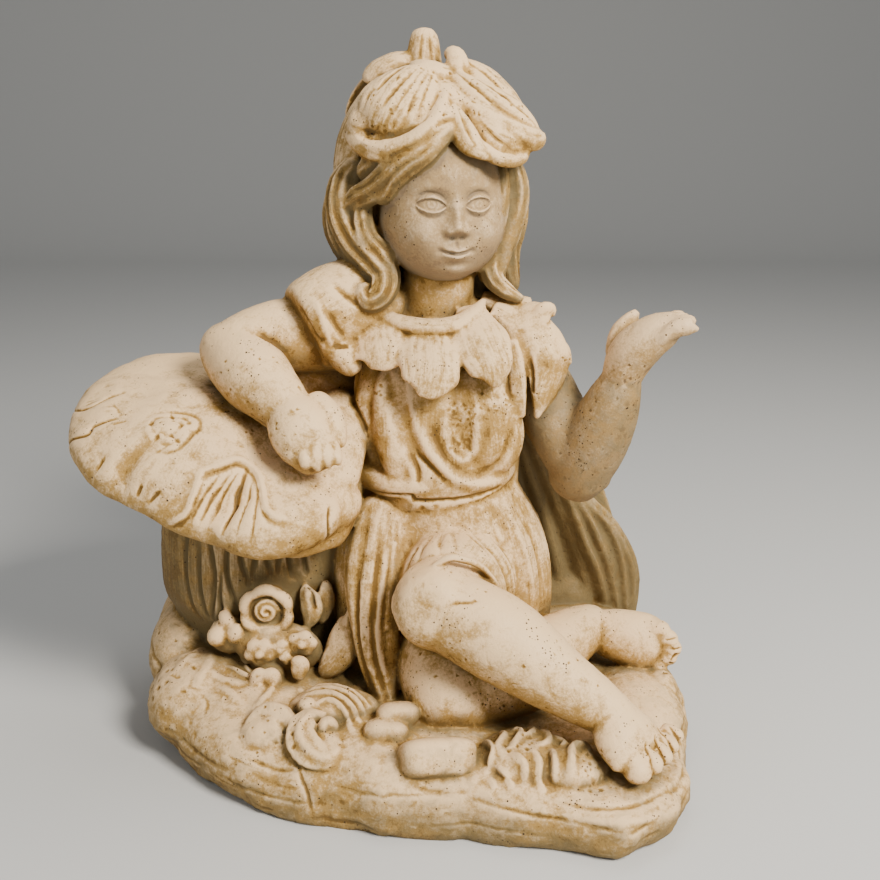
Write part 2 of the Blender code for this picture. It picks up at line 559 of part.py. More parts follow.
def cut_flat(mesh):
    """Cut the solid on the plane that it rests on and close the cut."""
    bm = bmesh.new()
    bm.from_mesh(mesh)
    geom = bm.verts[:] + bm.edges[:] + bm.faces[:]
    bmesh.ops.bisect_plane(bm, geom=geom, dist=0.0006, plane_co=(0, 0, 0),
                           plane_no=(0, 0, 1), clear_inner=True)
    for vert in bm.verts:
        if abs(vert.co.z) < 0.0007:
            vert.co.z = 0.0
    rim = [e for e in bm.edges if e.is_boundary]
    bmesh.ops.holes_fill(bm, edges=rim, sides=0)
    bmesh.ops.triangulate(bm, faces=bm.faces[:])
    bmesh.ops.recalc_face_normals(bm, faces=bm.faces[:])
    bm.to_mesh(mesh)
    bm.free()


def stone_material():
    """Cast stone with a warm wash."""
    material = bpy.data.materials.new("antique_cast_stone")
    material.use_nodes = True
    shader = material.node_tree.nodes["Principled BSDF"]
    shader.inputs["Base Color"].default_value = (0.62, 0.47, 0.31, 1.0)
    shader.inputs["Roughness"].default_value = 0.55
    shader.inputs["Metallic"].default_value = 0.0
    return material


def main():
    for obj in list(bpy.data.objects):
        bpy.data.objects.remove(obj)
    bm = bmesh.new()
    for add in (add_base, add_ground_cover, add_stem, add_cap, add_flowers, add_torso,
                add_skirt, add_legs, add_arms, add_sleeves, add_head, add_hair, add_hat,
                add_collar, add_wings):
        add(bm)
    add_foot(bm, (162, -124, 76), (176, -140, 59), (190, -158, 50), (-0.2, 0.1, -1),
             (0.75, 0.66, 0.1))
    add_foot(bm, (160, -2, 82), (212, -18, 80), (243, -26, 76), (0.1, 0.5, -0.8),
             (-0.3, -0.8, -0.5))
    solid = cast(bm, "fairy_statue")
    bm.free()
    cut_flat(solid)
    statue = new_object("fairy_statue", solid)
    solid.materials.append(stone_material())
    solid.shade_smooth()
    solid.set_sharp_from_angle(angle=math.radians(50))
    return statue


main()
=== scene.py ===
"""Looks of the fairy garden statue: a girl on a rock beside a mushroom, cast in one piece.

Every piece is first made as clay: closed forms shaped from round blanks. The clays are fused
into one skin, carved with strokes, pitted, thinned and given an antique stone finish.
Clay is measured in millimetres, the front faces -Y and the origin lies under the rock.
"""

import json
import math

import bpy
import bmesh
import numpy as np
from bpy.props import FloatProperty, FloatVectorProperty, IntProperty, PointerProperty
from mathutils import Matrix, Vector
from mathutils.bvhtree import BVHTree

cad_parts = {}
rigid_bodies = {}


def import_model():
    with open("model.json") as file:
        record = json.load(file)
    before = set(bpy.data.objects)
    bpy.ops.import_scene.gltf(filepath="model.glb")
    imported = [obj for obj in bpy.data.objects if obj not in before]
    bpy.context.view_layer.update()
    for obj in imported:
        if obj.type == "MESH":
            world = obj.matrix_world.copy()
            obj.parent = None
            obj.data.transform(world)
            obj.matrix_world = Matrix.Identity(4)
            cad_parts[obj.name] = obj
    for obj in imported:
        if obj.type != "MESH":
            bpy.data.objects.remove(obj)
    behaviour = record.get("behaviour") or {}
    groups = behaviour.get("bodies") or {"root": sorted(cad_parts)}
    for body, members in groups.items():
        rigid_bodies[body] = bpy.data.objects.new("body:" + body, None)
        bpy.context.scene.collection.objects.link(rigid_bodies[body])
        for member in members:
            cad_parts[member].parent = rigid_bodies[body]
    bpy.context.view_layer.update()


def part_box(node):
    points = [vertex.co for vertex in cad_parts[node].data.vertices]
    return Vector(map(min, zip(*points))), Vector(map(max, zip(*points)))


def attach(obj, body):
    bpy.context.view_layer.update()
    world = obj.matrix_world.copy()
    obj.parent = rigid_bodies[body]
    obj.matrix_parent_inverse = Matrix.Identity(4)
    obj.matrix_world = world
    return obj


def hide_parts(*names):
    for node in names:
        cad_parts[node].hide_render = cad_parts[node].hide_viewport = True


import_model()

bl_info = {
    "name": "Fairy garden statue",
    "version": (1, 0, 0),
    "blender": (4, 5, 0),
    "location": "View3D > Sidebar > Statue",
    "description": "Models the cast fairy statue, its antique stone finish and its stage",
    "category": "Object",
}

NODE = "fairy_statue"
DESIGN_HEIGHT = 545.0
STATUE_LOW, STATUE_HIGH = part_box(NODE)
MM = (STATUE_HIGH[2] - STATUE_LOW[2]) / DESIGN_HEIGHT

# ---------------------------------------------------------------- named places (mm)
STEM_FOOT = (-121, 55, 20)
STEM_HEAD = (-116, 46, 212)
CAP_CENTRE = (-127, 20, 234)
CAP_TILT = (15, 17, 0)
PELVIS = (48, 22, 88)
WAIST = (44, 24, 196)
CHEST = (41, 27, 266)
NECK_BASE = (36, 32, 322)
HEAD_CENTRE = (40, 24, 420)
HEAD_TURN = (0, 0, 13)
RIGHT_SHOULDER = (-30, 32, 312)
RIGHT_ELBOW = (-116, 4, 310)
RIGHT_WRIST = (-68, -47, 275)
LEFT_SHOULDER = (98, 32, 318)
LEFT_ELBOW = (150, 2, 218)
LEFT_WRIST = (174, -20, 290)
RIGHT_KNEE = (38, -78, 138)
RIGHT_ANKLE = (163, -128, 76)
LEFT_KNEE = (50, -72, 60)
LEFT_ANKLE = (158, -2, 82)
ROSE_CENTRE = (-95, -32, 112)

FRONT = (0, -1, 0)
UP = (0, 0, 1)

# Finish of a clay: tool marks, skin, weathering, each from 0 to 1.
SKIN = (0.05, 1.0, 0.1)
CLOTH = (0.5, 0.3, 0.15)
PETAL = (0.6, 0.1, 0.12)
STRANDS = (1.0, 0.0, 0.5)
ROCK = (0.15, 0.0, 0.5)
WOOD = (0.8, 0.0, 0.6)
WING = (0.7, 0.0, 0.75)


# ---------------------------------------------------------------- curves
def curve_through(points, at):
    """Read a smooth curve through the points at each parameter of `at`, from 0 to 1."""
    pts = np.array(points, dtype=float)
    if pts.ndim == 1:
        pts = pts[:, None]
    padded = np.vstack([2 * pts[0] - pts[1], pts, 2 * pts[-1] - pts[-2]])
    span = np.clip(np.asarray(at) * (len(pts) - 1), 0, len(pts) - 1 - 1e-9)
    i = span.astype(int)
    t = (span - i)[:, None]
    p0, p1, p2, p3 = (padded[i + k] for k in range(4))
    return 0.5 * (2 * p1 + (p2 - p0) * t + (2 * p0 - 5 * p1 + 4 * p2 - p3) * t ** 2
                  + (3 * p1 - 3 * p2 + p3 - p0) * t ** 3)


def unit(rows):
    """Rows of vectors scaled to length one."""
    return rows / np.maximum(np.linalg.norm(rows, axis=-1, keepdims=True), 1e-12)


def along(sizes, s):
    """A size, given once or as a list read evenly along the path."""
    return curve_through(sizes, s)[:, 0] if hasattr(sizes, "__len__") else sizes


def turned(degrees):
    """The rotation by degrees about X, then Y, then Z."""
    spin = Matrix.Identity(3)
    for angle, axis in zip(degrees, "XYZ"):
        spin = Matrix.Rotation(math.radians(angle), 3, axis) @ spin
    return np.array(spin)


def bump(value, centre, spread):
    """A soft hump of height one about `centre`."""
    return np.exp(-((value - centre) / spread) ** 2)


def smooth_step(value, low, high):
    """0 below `low`, 1 above `high`, eased between."""
    t = np.clip((value - low) / (high - low), 0, 1)
    return t * t * (3 - 2 * t)


# ---------------------------------------------------------------- clay
LAYERS = ("grain", "finish")


def with_layers(bm):
    """The bmesh, with a layer for the grain and one for the finish."""
    for name in LAYERS:
        bm.verts.layers.float_vector.new(name)
    return bm


def mesh_from(bm, name):
    """The finished bmesh as a new mesh."""
    mesh = bpy.data.meshes.new(name)
    bm.to_mesh(mesh)
    bm.free()
    return mesh


def rows_of(data, name, width, kind=float):
    """What a mesh keeps for each vertex, edge or face, as rows of numbers."""
    values = np.empty(len(data) * width, dtype=kind)
    data.foreach_get(name, values)
    return values.reshape(-1, width)


def put_in_scene(name, data):
    """Put a mesh, a lamp or a camera into the scene under a name."""
    obj = bpy.data.objects.new(name, data)
    bpy.context.scene.collection.objects.link(obj)
    return obj


class Clay:
    """The closed clay forms of one part of the statue, gathered in one mesh."""

    blanks = {}
    forms = 0

    def __init__(self, name, finish, ease=0, cell=1.6):
        self.name = name
        self.finish = finish
        self.ease = ease
        self.cell = cell
        self.bm = with_layers(bmesh.new())

    @classmethod
    def blank(cls, sides, rings):
        """A round blank, with the way round and the angle down of each vertex."""
        if (sides, rings) not in cls.blanks:
            bm = with_layers(bmesh.new())
            bmesh.ops.create_uvsphere(bm, u_segments=sides, v_segments=rings, radius=1.0)
            mesh = mesh_from(bm, "blank")
            co = rows_of(mesh.vertices, "co", 3)
            ring = np.maximum(np.hypot(co[:, 0], co[:, 1]), 1e-9)
            polar = np.arccos(np.clip(co[:, 2], -1, 1))
            cls.blanks[sides, rings] = (mesh, co[:, 0] / ring, co[:, 1] / ring, polar)
        return cls.blanks[sides, rings]

    def form(self, sides, rings, shape):
        """Shape a blank and add it. shape gives its places and its grain, both in mm."""
        blank, a, b, polar = Clay.blank(sides, rings)
        places, grain = shape(a, b, polar)
        Clay.forms += 1
        grain = np.column_stack([grain, np.full(len(places), Clay.forms * 3.7)])
        mesh = blank.copy()
        mesh.vertices.foreach_set("co", (places * MM).ravel())
        mesh.attributes["grain"].data.foreach_set("vector", grain.ravel())
        finish = np.tile(np.array(self.finish, dtype=float), len(places))
        mesh.attributes["finish"].data.foreach_set("vector", finish)
        self.bm.from_mesh(mesh)
        bpy.data.meshes.remove(mesh)

    def limb(self, path, wide, thick=None, facing=FRONT, blunt=0.4, curl=0.0, flutes=None,
             ribs=None, frill=None, square=1.0, sides=18, rings=20):
        """A closed form swept along a path.

        wide and thick are half sizes across and along `facing`, read evenly along the path.
        blunt shapes the ends: 1 is an ellipsoid, a small number a round-ended bar. curl
        lifts the long edges towards the facing side. flutes is (count, depth) round it,
        ribs is (count, millimetres) across it and frill is (count, depth) along its edges.
        square below 1 flattens the sides of its section.
        """
        span = np.array(path, dtype=float)
        length = np.sum(np.linalg.norm(np.diff(span, axis=0), axis=1))

        def shape(a, b, polar):
            s = (1 - np.cos(polar)) / 2
            centre = curve_through(path, s)
            ahead = curve_through(path, np.minimum(s + 0.02, 1))
            behind = curve_through(path, np.maximum(s - 0.02, 0))
            way = unit(ahead - behind)
            normal = np.tile(np.array(facing, dtype=float), (len(s), 1))
            normal = unit(normal - way * np.sum(normal * way, axis=1, keepdims=True))
            across = np.cross(way, normal)
            w = along(wide, s)
            h = w if thick is None else along(thick, s)
            end = np.sin(polar) ** blunt
            if flutes:
                twist = flutes[2] * s if len(flutes) > 2 else 0.0
                wave = np.cos(flutes[0] * np.arctan2(b, a) + twist)
                end = end * (1 + flutes[1] * wave * end)
            if square != 1.0:
                a, b = (np.sign(side) * np.abs(side) ** square for side in (a, b))
            if frill:
                w = w * (1 + frill[1] * np.sin(2 * np.pi * frill[0] * s + 3 * a))
            rise = curl * (a * end) ** 2 * w
            if ribs:
                rise = rise + ribs[1] * np.cos(np.pi * ribs[0] * a * end) * end
            places = (centre + across * (a * w * end)[:, None]
                      + normal * (b * h * end + rise)[:, None])
            grain = np.column_stack([(a * w + 0.6 * b * h) * end, s * length])
            return places, grain

        self.form(sides, rings, shape)

    def bone(self, path, wide):
        """A limb of the body: its rounded ends run past the joints by most of a radius."""
        past, slim = 0.85, 0.96
        pts = [np.array(p, dtype=float) for p in path]
        first = pts[0] + unit(pts[0] - pts[1]) * wide[0] * past
        last = pts[-1] + unit(pts[-1] - pts[-2]) * wide[-1] * past
        radii = [wide[0] * slim, *wide[1:-1], wide[-1] * slim]
        self.limb([first, *pts[1:-1], last], radii, blunt=0.42, sides=32, rings=30)

    def blob(self, centre, sizes, turn=(0, 0, 0), square=1.0, sides=24, rings=16):
        """An ellipsoid with the given half sizes. square below 1 makes it boxier."""
        spin = turned(turn)

        def shape(a, b, polar):
            co = np.stack([a * np.sin(polar), b * np.sin(polar), np.cos(polar)], axis=1)
            if square != 1.0:
                co = np.sign(co) * np.abs(co) ** square
            co = co * sizes
            return co @ spin.T + np.array(centre, dtype=float), co[:, :2]

        self.form(sides, rings, shape)

    def done(self):
        """Leave the clay in the scene for the cast."""
        name = "clay_" + self.name
        clay = put_in_scene(name, mesh_from(self.bm, name))
        clay["ease"] = self.ease
        clay["cell"] = self.cell


# ---------------------------------------------------------------- rock and ground cover
BASE_WAIST = 20.0
BASE_CORNERS = [(-190, -8), (-158, -86), (-112, -126), (-40, -151), (60, -168), (122, -184),
                (168, -194), (208, -166), (230, -80), (236, 10), (214, 84), (150, 130),
                (40, 146), (-80, 148), (-160, 128), (-196, 66)]
# Height of the rock's shoulder towards each direction in degrees.
BASE_SHOULDERS = ((-180, 72), (-155, 62), (-130, 52), (-105, 54), (-80, 54), (-60, 50),
                  (-45, 44), (-25, 44), (0, 52), (40, 58), (90, 60), (140, 66))


def outline_at(angle, corners):
    """Radius of a closed outline at each angle, through its (x, y) corners."""
    x, y = np.array(corners, dtype=float).T
    return np.interp(angle, np.arctan2(y, x), np.hypot(x, y), period=2 * math.pi)


def by_heading(angle, table):
    """Read a table of (direction in degrees, value) rows at each angle."""
    return np.interp(np.degrees(angle), *zip(*table), period=360)


def lattice_noise(places, size, seed):
    """Smooth value noise from -1 to 1 with cells of the given size."""
    count = 32
    table = np.random.RandomState(seed).uniform(-1, 1, (count, count, count))
    spot = places / size
    cell = np.floor(spot).astype(int)
    t = spot - cell
    t = t * t * (3 - 2 * t)
    total = np.zeros(len(places))
    for corner in range(8):
        step = np.array([corner & 1, corner >> 1 & 1, corner >> 2 & 1])
        weight = np.prod(np.where(step, t, 1 - t), axis=1)
        at = (cell + step) % count
        total += weight * table[at[:, 0], at[:, 1], at[:, 2]]
    return total


def model_rock():
    """The rock: a boulder with a tucked foot, a rounded shoulder and a humped top."""
    rock = Clay("rock", ROCK, ease=4, cell=2.0)

    def shape(a, b, polar):
        angle = np.arctan2(b, a)
        top = by_heading(angle, BASE_SHOULDERS) - BASE_WAIST
        half = np.where(np.cos(polar) > 0, top, BASE_WAIST * 1.7)
        height = BASE_WAIST + half * np.sign(np.cos(polar)) * np.abs(np.cos(polar)) ** 0.8
        r = outline_at(angle, BASE_CORNERS) * np.sin(polar) ** 0.3
        places = np.stack([r * a, r * b, height], axis=1)
        lumps = (5.0 * lattice_noise(places, 62, 1) + 2.6 * lattice_noise(places, 27, 2)
                 + 1.1 * lattice_noise(places * (1, 1, 2.2), 13, 3))
        r = r - 3 + lumps * np.sin(polar)
        places = np.stack([r * a, r * b, height + lumps * np.cos(polar) * 0.7], axis=1)
        return places, np.column_stack([height, angle * 150])

    rock.form(240, 72, shape)
    humps = [((-172, 38, 44), (35, 60, 44)), ((-176, 62, 50), (29, 58, 45)),
             ((-150, -26, 34), (44, 54, 36)), ((-112, -34, 30), (50, 40, 33)),
             ((-70, -84, 26), (56, 44, 30)), ((110, -136, 26), (50, 34, 24)),
             ((158, -110, 24), (50, 56, 24)), ((194, -40, 30), (38, 70, 28)),
             ((150, 60, 40), (70, 62, 26)), ((30, 90, 44), (90, 52, 26)),
             ((-120, 84, 46), (80, 60, 34)), ((216, -28, 40), (15, 26, 18))]
    for centre, sizes in humps:
        rock.blob(centre, sizes, sides=36, rings=24)
    rock.done()


def model_ground_cover():
    """Pebbles, a squared stone, grass tufts and curled leaves before the knee."""
    stones = Clay("stones", ROCK, ease=1, cell=1.2)
    stones.blob((9, -99, 60), (16, 11, 9), (-14, 0, 10), square=0.72)
    stones.blob((1, -113, 53), (17, 12, 10), (-16, 0, -8), square=0.72)
    stones.blob((38, -137, 48), (28, 20, 14), (-34, 6, 14), square=0.55)
    stones.blob((-59, -89, 60), (8, 8, 8))
    stones.done()

    cover = Clay("ground_cover", ROCK, ease=3, cell=1.3)
    mounds = [((100, -128, 44), (34, 30, 14)), ((132, -142, 44), (26, 22, 13)),
              ((-46, -114, 42), (22, 22, 14)), ((-86, -100, 44), (22, 18, 14)),
              ((-40, -78, 54), (34, 22, 12)), ((-104, -58, 52), (22, 16, 10))]
    for centre, sizes in mounds:
        cover.blob(centre, sizes, sides=32, rings=20)
    cover.done()

    curls = Clay("leaf_curls", ROCK, ease=1, cell=1.1)
    curls.limb([(-30, -124, 48), (-40, -131, 44), (-52, -126, 46), (-60, -114, 51),
                (-56, -101, 57), (-44, -97, 59)],
               [5, 10, 13, 12, 9, 4], [5, 8, 10, 10, 8, 4],
               facing=(0, -0.6, 0.8), flutes=(7, 0.13, 1), sides=54, rings=60)
    curls.limb([(-34, -110, 54), (-42, -108, 58), (-46, -116, 56)], [4, 6, 3], [4, 6, 4],
               facing=(0, -0.6, 0.8))
    curls.limb([(-103, -100, 52), (-93, -92, 57), (-81, -94, 60), (-71, -102, 57),
                (-67, -112, 51)],
               [3, 6, 7, 6, 3], [4, 6, 6, 5, 3], facing=(0, -0.6, 0.8),
               flutes=(5, 0.14, 4), sides=40, rings=44)
    curls.limb([(-92, -106, 50), (-84, -103, 55), (-78, -111, 51)], [3, 4.6, 3], 4,
               facing=(0, -0.6, 0.8))
    curls.done()


# Raised blades and bands of the ground cover: points, half width and height.
COVER_RIDGES = [
    ([(66, -120, 56), (74, -127, 56), (78, -138, 52), (72, -150, 46)], 3.0, 5),
    ([(82, -114, 60), (86, -122, 58), (82, -132, 54), (84, -142, 52)], 3.4, 5),
    ([(92, -110, 62), (98, -118, 60), (95, -128, 56), (90, -136, 54)], 3.2, 5),
    ([(104, -106, 64), (108, -114, 62), (104, -122, 58), (98, -126, 56)], 3.0, 4.5),
    ([(112, -112, 62), (118, -120, 60), (116, -130, 56), (108, -136, 54)], 3.4, 5),
    ([(122, -118, 60), (128, -124, 58), (126, -134, 56)], 2.8, 4),
    ([(80, -148, 48), (86, -156, 46), (90, -164, 40)], 3.4, 4),
    ([(92, -142, 50), (98, -150, 50), (98, -160, 44)], 3.6, 4.5),
    ([(104, -138, 52), (108, -148, 52), (108, -160, 44), (112, -168, 40)], 3.6, 4.5),
    ([(118, -136, 54), (120, -148, 52), (120, -160, 44)], 3.4, 4.5),
    ([(130, -158, 48), (131, -147, 52), (134, -137, 57), (142, -134, 58), (146, -142, 54)],
     3.6, 6),
    ([(74, -154, 44), (78, -162, 40)], 3.0, 3),
    ([(-66, -60, 62), (-48, -64, 69), (-28, -74, 68), (-12, -88, 64)], 2.6, 4),
    ([(-64, -68, 62), (-46, -71, 67), (-27, -81, 65), (-14, -95, 60)], 2.4, 4),
    ([(-62, -77, 62), (-45, -78, 65), (-28, -88, 61), (-18, -102, 56)], 2.4, 4),
    ([(-54, -90, 59), (-42, -86, 62), (-30, -95, 58), (-24, -110, 53)], 2.4, 3.6),
    ([(-88, -58, 60), (-92, -70, 60), (-100, -82, 56)], 3.4, 4),
    ([(-112, -74, 58), (-120, -66, 60), (-130, -60, 60)], 4, 3.4),
    ([(-128, -36, 70), (-114, -46, 63), (-98, -56, 55)], 2.6, 4),
    ([(-118, -32, 72), (-110, -42, 66), (-104, -52, 58)], 2.0, 3),
    ([(-140, -44, 66), (-128, -52, 63), (-112, -56, 60)], 3.6, 2.6),
    ([(-150, -60, 60), (-142, -40, 66), (-142, -20, 70)], 4.5, 2.6),
    ([(-166, -44, 60), (-158, -26, 68), (-152, -8, 72)], 4.0, 2.4),
]


# ---------------------------------------------------------------- mushroom
# The cap's outline: direction in degrees, and reach as a share of the cap's radius.
CAP_LOBES = ((-180, 1.0), (-150, 1.03), (-128, 0.99), (-110, 0.95), (-90, 0.97), (-70, 1.0),
             (-50, 1.07), (-34, 1.1), (-15, 0.98), (10, 0.9), (40, 0.92), (90, 0.96),
             (130, 0.94), (158, 0.96))


def model_mushroom():
    """The stem with broad upright flutes under a tilted, lobed cushion of a cap."""
    sizes = bpy.context.scene.statue_sizes
    foot, head = np.array(STEM_FOOT), np.array(STEM_HEAD)
    stem = Clay("stem", WOOD, ease=2, cell=1.8)
    stem.limb([foot, (foot * 2 + head) / 3, (foot + head) / 2, head], [54, 66, 76, 78],
              flutes=(7, 0.015), blunt=0.18, sides=132, rings=40)
    stem.limb([(-74, 38, 30), (-74, 34, 110), (-76, 34, 200)], [40, 45, 46],
              flutes=(5, 0.02), blunt=0.2, sides=90, rings=30)
    stem.done()

    radius, thickness = sizes.cap_radius / MM, sizes.cap_thickness / MM
    dome_height = 24.0
    spin = turned(CAP_TILT)
    cap = Clay("cap", (0.25, 0.25, 0.15), ease=9, cell=2.0)

    def shape(a, b, polar):
        angle = np.arctan2(b, a)
        reach = radius * by_heading(angle, CAP_LOBES) * np.sin(polar) ** 0.56
        front = smooth_step(-b, 0.1, 1.0)
        dome = dome_height * (1 - (reach / radius) ** 2) - 7 * front * smooth_step(reach, 70, 120)
        z = thickness * (0.5 + 0.08 * front) * np.sign(np.cos(polar))
        z = z * np.abs(np.cos(polar)) ** 0.8
        co = np.stack([reach * a, reach * b, z + dome], axis=1)
        co = co * (1 + 0.016 * lattice_noise(co, 46, 4)[:, None])
        co[:, 2] += 2.2 * lattice_noise(co, 24, 5) + 1.1 * lattice_noise(co, 9, 6)
        return co @ spin.T + np.array(CAP_CENTRE), np.column_stack([angle * 110, reach * 0.6])

    cap.form(180, 60, shape)
    cap.limb([(-186, -28, 244), (-172, -52, 228), (-158, -70, 208)], [14, 26, 16], 15,
             facing=(-0.3, -0.8, 0.5))
    cap.limb([(-226, 22, 262), (-216, -14, 250), (-200, -36, 238)], [12, 20, 14], 14,
             facing=(-0.6, -0.4, 0.6))
    cap.limb([(-128, -74, 202), (-84, -76, 200), (-36, -52, 204)], [18, 26, 22], 20,
             facing=(0, -0.8, 0.6))
    cap.blob((-74, -44, 214), (58, 36, 26), (28, 14, 12), sides=40, rings=28)
    cap.limb([(-40, 30, 268), (-40, -6, 246), (-42, -44, 214)], [20, 24, 26], 18,
             facing=(0, -1, 0.4))
    cap.blob((-66, 48, 270), (52, 26, 42), (0, 12, 0), sides=40, rings=28)
    cap.done()


def model_flowers():
    """The rose on the stem, its leaves, and the small flowers and buds below it."""
    rose = np.array(ROSE_CENTRE, dtype=float)
    bloom = Clay("rose", (0.5, 0.0, 0.3), ease=1, cell=1.1)
    bloom.blob(rose + (0, 8, 0), (17, 11, 17))
    petals = 6
    for k in range(petals):
        start = 2 * math.pi * k / petals
        arc = []
        for t in np.linspace(start - 0.1, start + 2 * math.pi / petals + 0.18, 5):
            reach = 16.4 + 1.6 * math.sin((t - start) * petals / 2)
            arc.append((rose[0] + reach * math.cos(t), rose[1] - 1 - 1.5 * (t - start),
                        rose[2] + reach * math.sin(t)))
        bloom.limb(arc, [3.2, 4.4, 4.6, 3.6], [4, 5.5, 5.5, 4.5], blunt=0.35, sides=20,
                   rings=30)
    spiral = []
    for k in range(16):
        t = 0.8 * k
        reach = 10.5 - 0.62 * k
        spiral.append((rose[0] + reach * math.cos(t), rose[1] - 2 - 0.2 * k,
                       rose[2] + reach * math.sin(t)))
    bloom.limb(spiral, [1.7, 1.8, 1.5], 2.4, sides=12, rings=70)
    bloom.done()

    small = Clay("small_flowers", (0.3, 0.0, 0.2), ease=1, cell=1.0)
    for x, y, z, size, petals in ((-100, -42, 81, 12, 5), (-84, -42, 84, 8, 4),
                                  (-67, -40, 88, 11, 5), (-79, -46, 78, 5.5, 4)):
        for k in range(petals):
            turn = 2 * math.pi * k / petals + 0.4 + x
            small.blob((x + 0.55 * size * math.cos(turn), y - 1,
                        z + 0.55 * size * math.sin(turn)),
                       (0.56 * size, 0.36 * size, 0.5 * size), sides=20, rings=14)
        small.blob((x, y - 0.42 * size, z), (0.3 * size, 0.28 * size, 0.3 * size))
    small.blob((-100, -55, 66), (7, 5, 9), (0, 24, 0))
    small.blob((-89, -55, 66), (7, 5, 9), (0, -24, 0))
    small.limb([(-74, -50, 80), (-68, -53, 75), (-71, -55, 65)], [4, 8, 5], 5.5,
               facing=(0.2, -1, 0.2))
    small.blob((-135, -33, 90), (8, 8, 8.5))
    small.blob((-127, -28, 101), (6, 6, 10), (0, -30, 0))
    small.blob((-120, -34, 93), (7, 6, 9), (0, 24, 0))
    small.done()

    leaves = Clay("stem_leaves", ROCK, ease=2, cell=1.2)
    leaves.blob((-88, -30, 80), (36, 14, 22), (0, 10, 0), sides=40, rings=30)
    leaves.blob((-126, -24, 88), (18, 12, 16), (0, -16, 0), sides=32, rings=24)
    leaves.blob((-92, -46, 62), (11, 9, 10))
    for path, wide, facing in (
            ([(-68, -14, 126), (-61, -22, 110), (-64, -26, 94)], [6, 10, 5], (-0.2, -1, 0)),
            ([(-51, -10, 128), (-51, -16, 112), (-55, -20, 94)], [5, 8, 4], (0.4, -1, 0))):
        leaves.limb(path, wide, 4.5, facing, blunt=0.55, curl=0.2, ribs=(3, 0.7), sides=32,
                    rings=24)
    leaves.done()


# ---------------------------------------------------------------- body
def model_body():
    """Neck, torso, arms and legs: the masses that flow into one another."""
    body = Clay("body", SKIN, ease=8, cell=1.8)
    body.limb([PELVIS, WAIST, CHEST, NECK_BASE], [72, 60, 64, 30], [52, 40, 44, 30],
              blunt=0.25, sides=48, rings=40)
    body.limb([RIGHT_SHOULDER, (36, 34, 322), LEFT_SHOULDER], [24, 28, 24], [24, 30, 24],
              facing=UP, sides=32, rings=24)
    body.limb([(36, 34, 306), (38, 30, 350), (41, 26, 384)], [30, 28, 29], blunt=0.2,
              sides=40, rings=20)
    body.bone([RIGHT_SHOULDER, (-74, 22, 319), RIGHT_ELBOW], [27, 29, 27])
    body.done()

    # Heavier weathering darkens the raised arm: partly grime, partly painted shade on its shaded
    # side.
    arm = Clay("raised_arm", (0.1, 0.35, 0.6), ease=6, cell=1.8)
    arm.bone([LEFT_SHOULDER, (124, 20, 268), LEFT_ELBOW], [26, 26, 28])
    arm.bone([LEFT_ELBOW, (163, -8, 252), LEFT_WRIST], [29, 25, 18])
    arm.done()

    forearm = Clay("forearm", SKIN, ease=4, cell=1.8)
    forearm.bone([(-117, 2, 308), (-100, -18, 298), (-82, -36, 286), RIGHT_WRIST],
                 [29, 28, 23.5, 20])
    forearm.done()

    top_leg = Clay("top_leg", SKIN, ease=6, cell=1.8)
    top_leg.bone([(62, 10, 112), (52, -34, 124), RIGHT_KNEE], [42, 40, 37])
    top_leg.bone([RIGHT_KNEE, (80, -96, 122), (124, -116, 98), RIGHT_ANKLE],
                 [37, 33, 25, 20])
    top_leg.done()
    under_leg = Clay("under_leg", SKIN, ease=6, cell=1.8)
    under_leg.bone([(60, 8, 80), (46, -30, 76), LEFT_KNEE], [40, 40, 37])
    under_leg.bone([LEFT_KNEE, (94, -54, 66), (128, -26, 75), LEFT_ANKLE],
                   [38, 33, 28, 23])
    under_leg.done()


def add_foot(clay, instep, wide, thick, normal, toes):
    """A bare foot along its instep, with chubby toes given as (root, tip, size)."""
    clay.limb(instep, wide, thick, facing=normal, blunt=0.5, sides=40, rings=28)
    up = np.array(normal, dtype=float)
    for root, tip, size in toes:
        root, tip = np.array(root, dtype=float), np.array(tip, dtype=float)
        clay.limb([root, root * 0.45 + tip * 0.55 + up * size * 0.2, tip],
                  [size * 0.85, size * 0.9, size], size * 0.9, facing=normal,
                  blunt=0.5, sides=26, rings=22)
        clay.blob(tip - (tip - root) * 0.18, (size * 1.02, size * 1.02, size * 0.96))


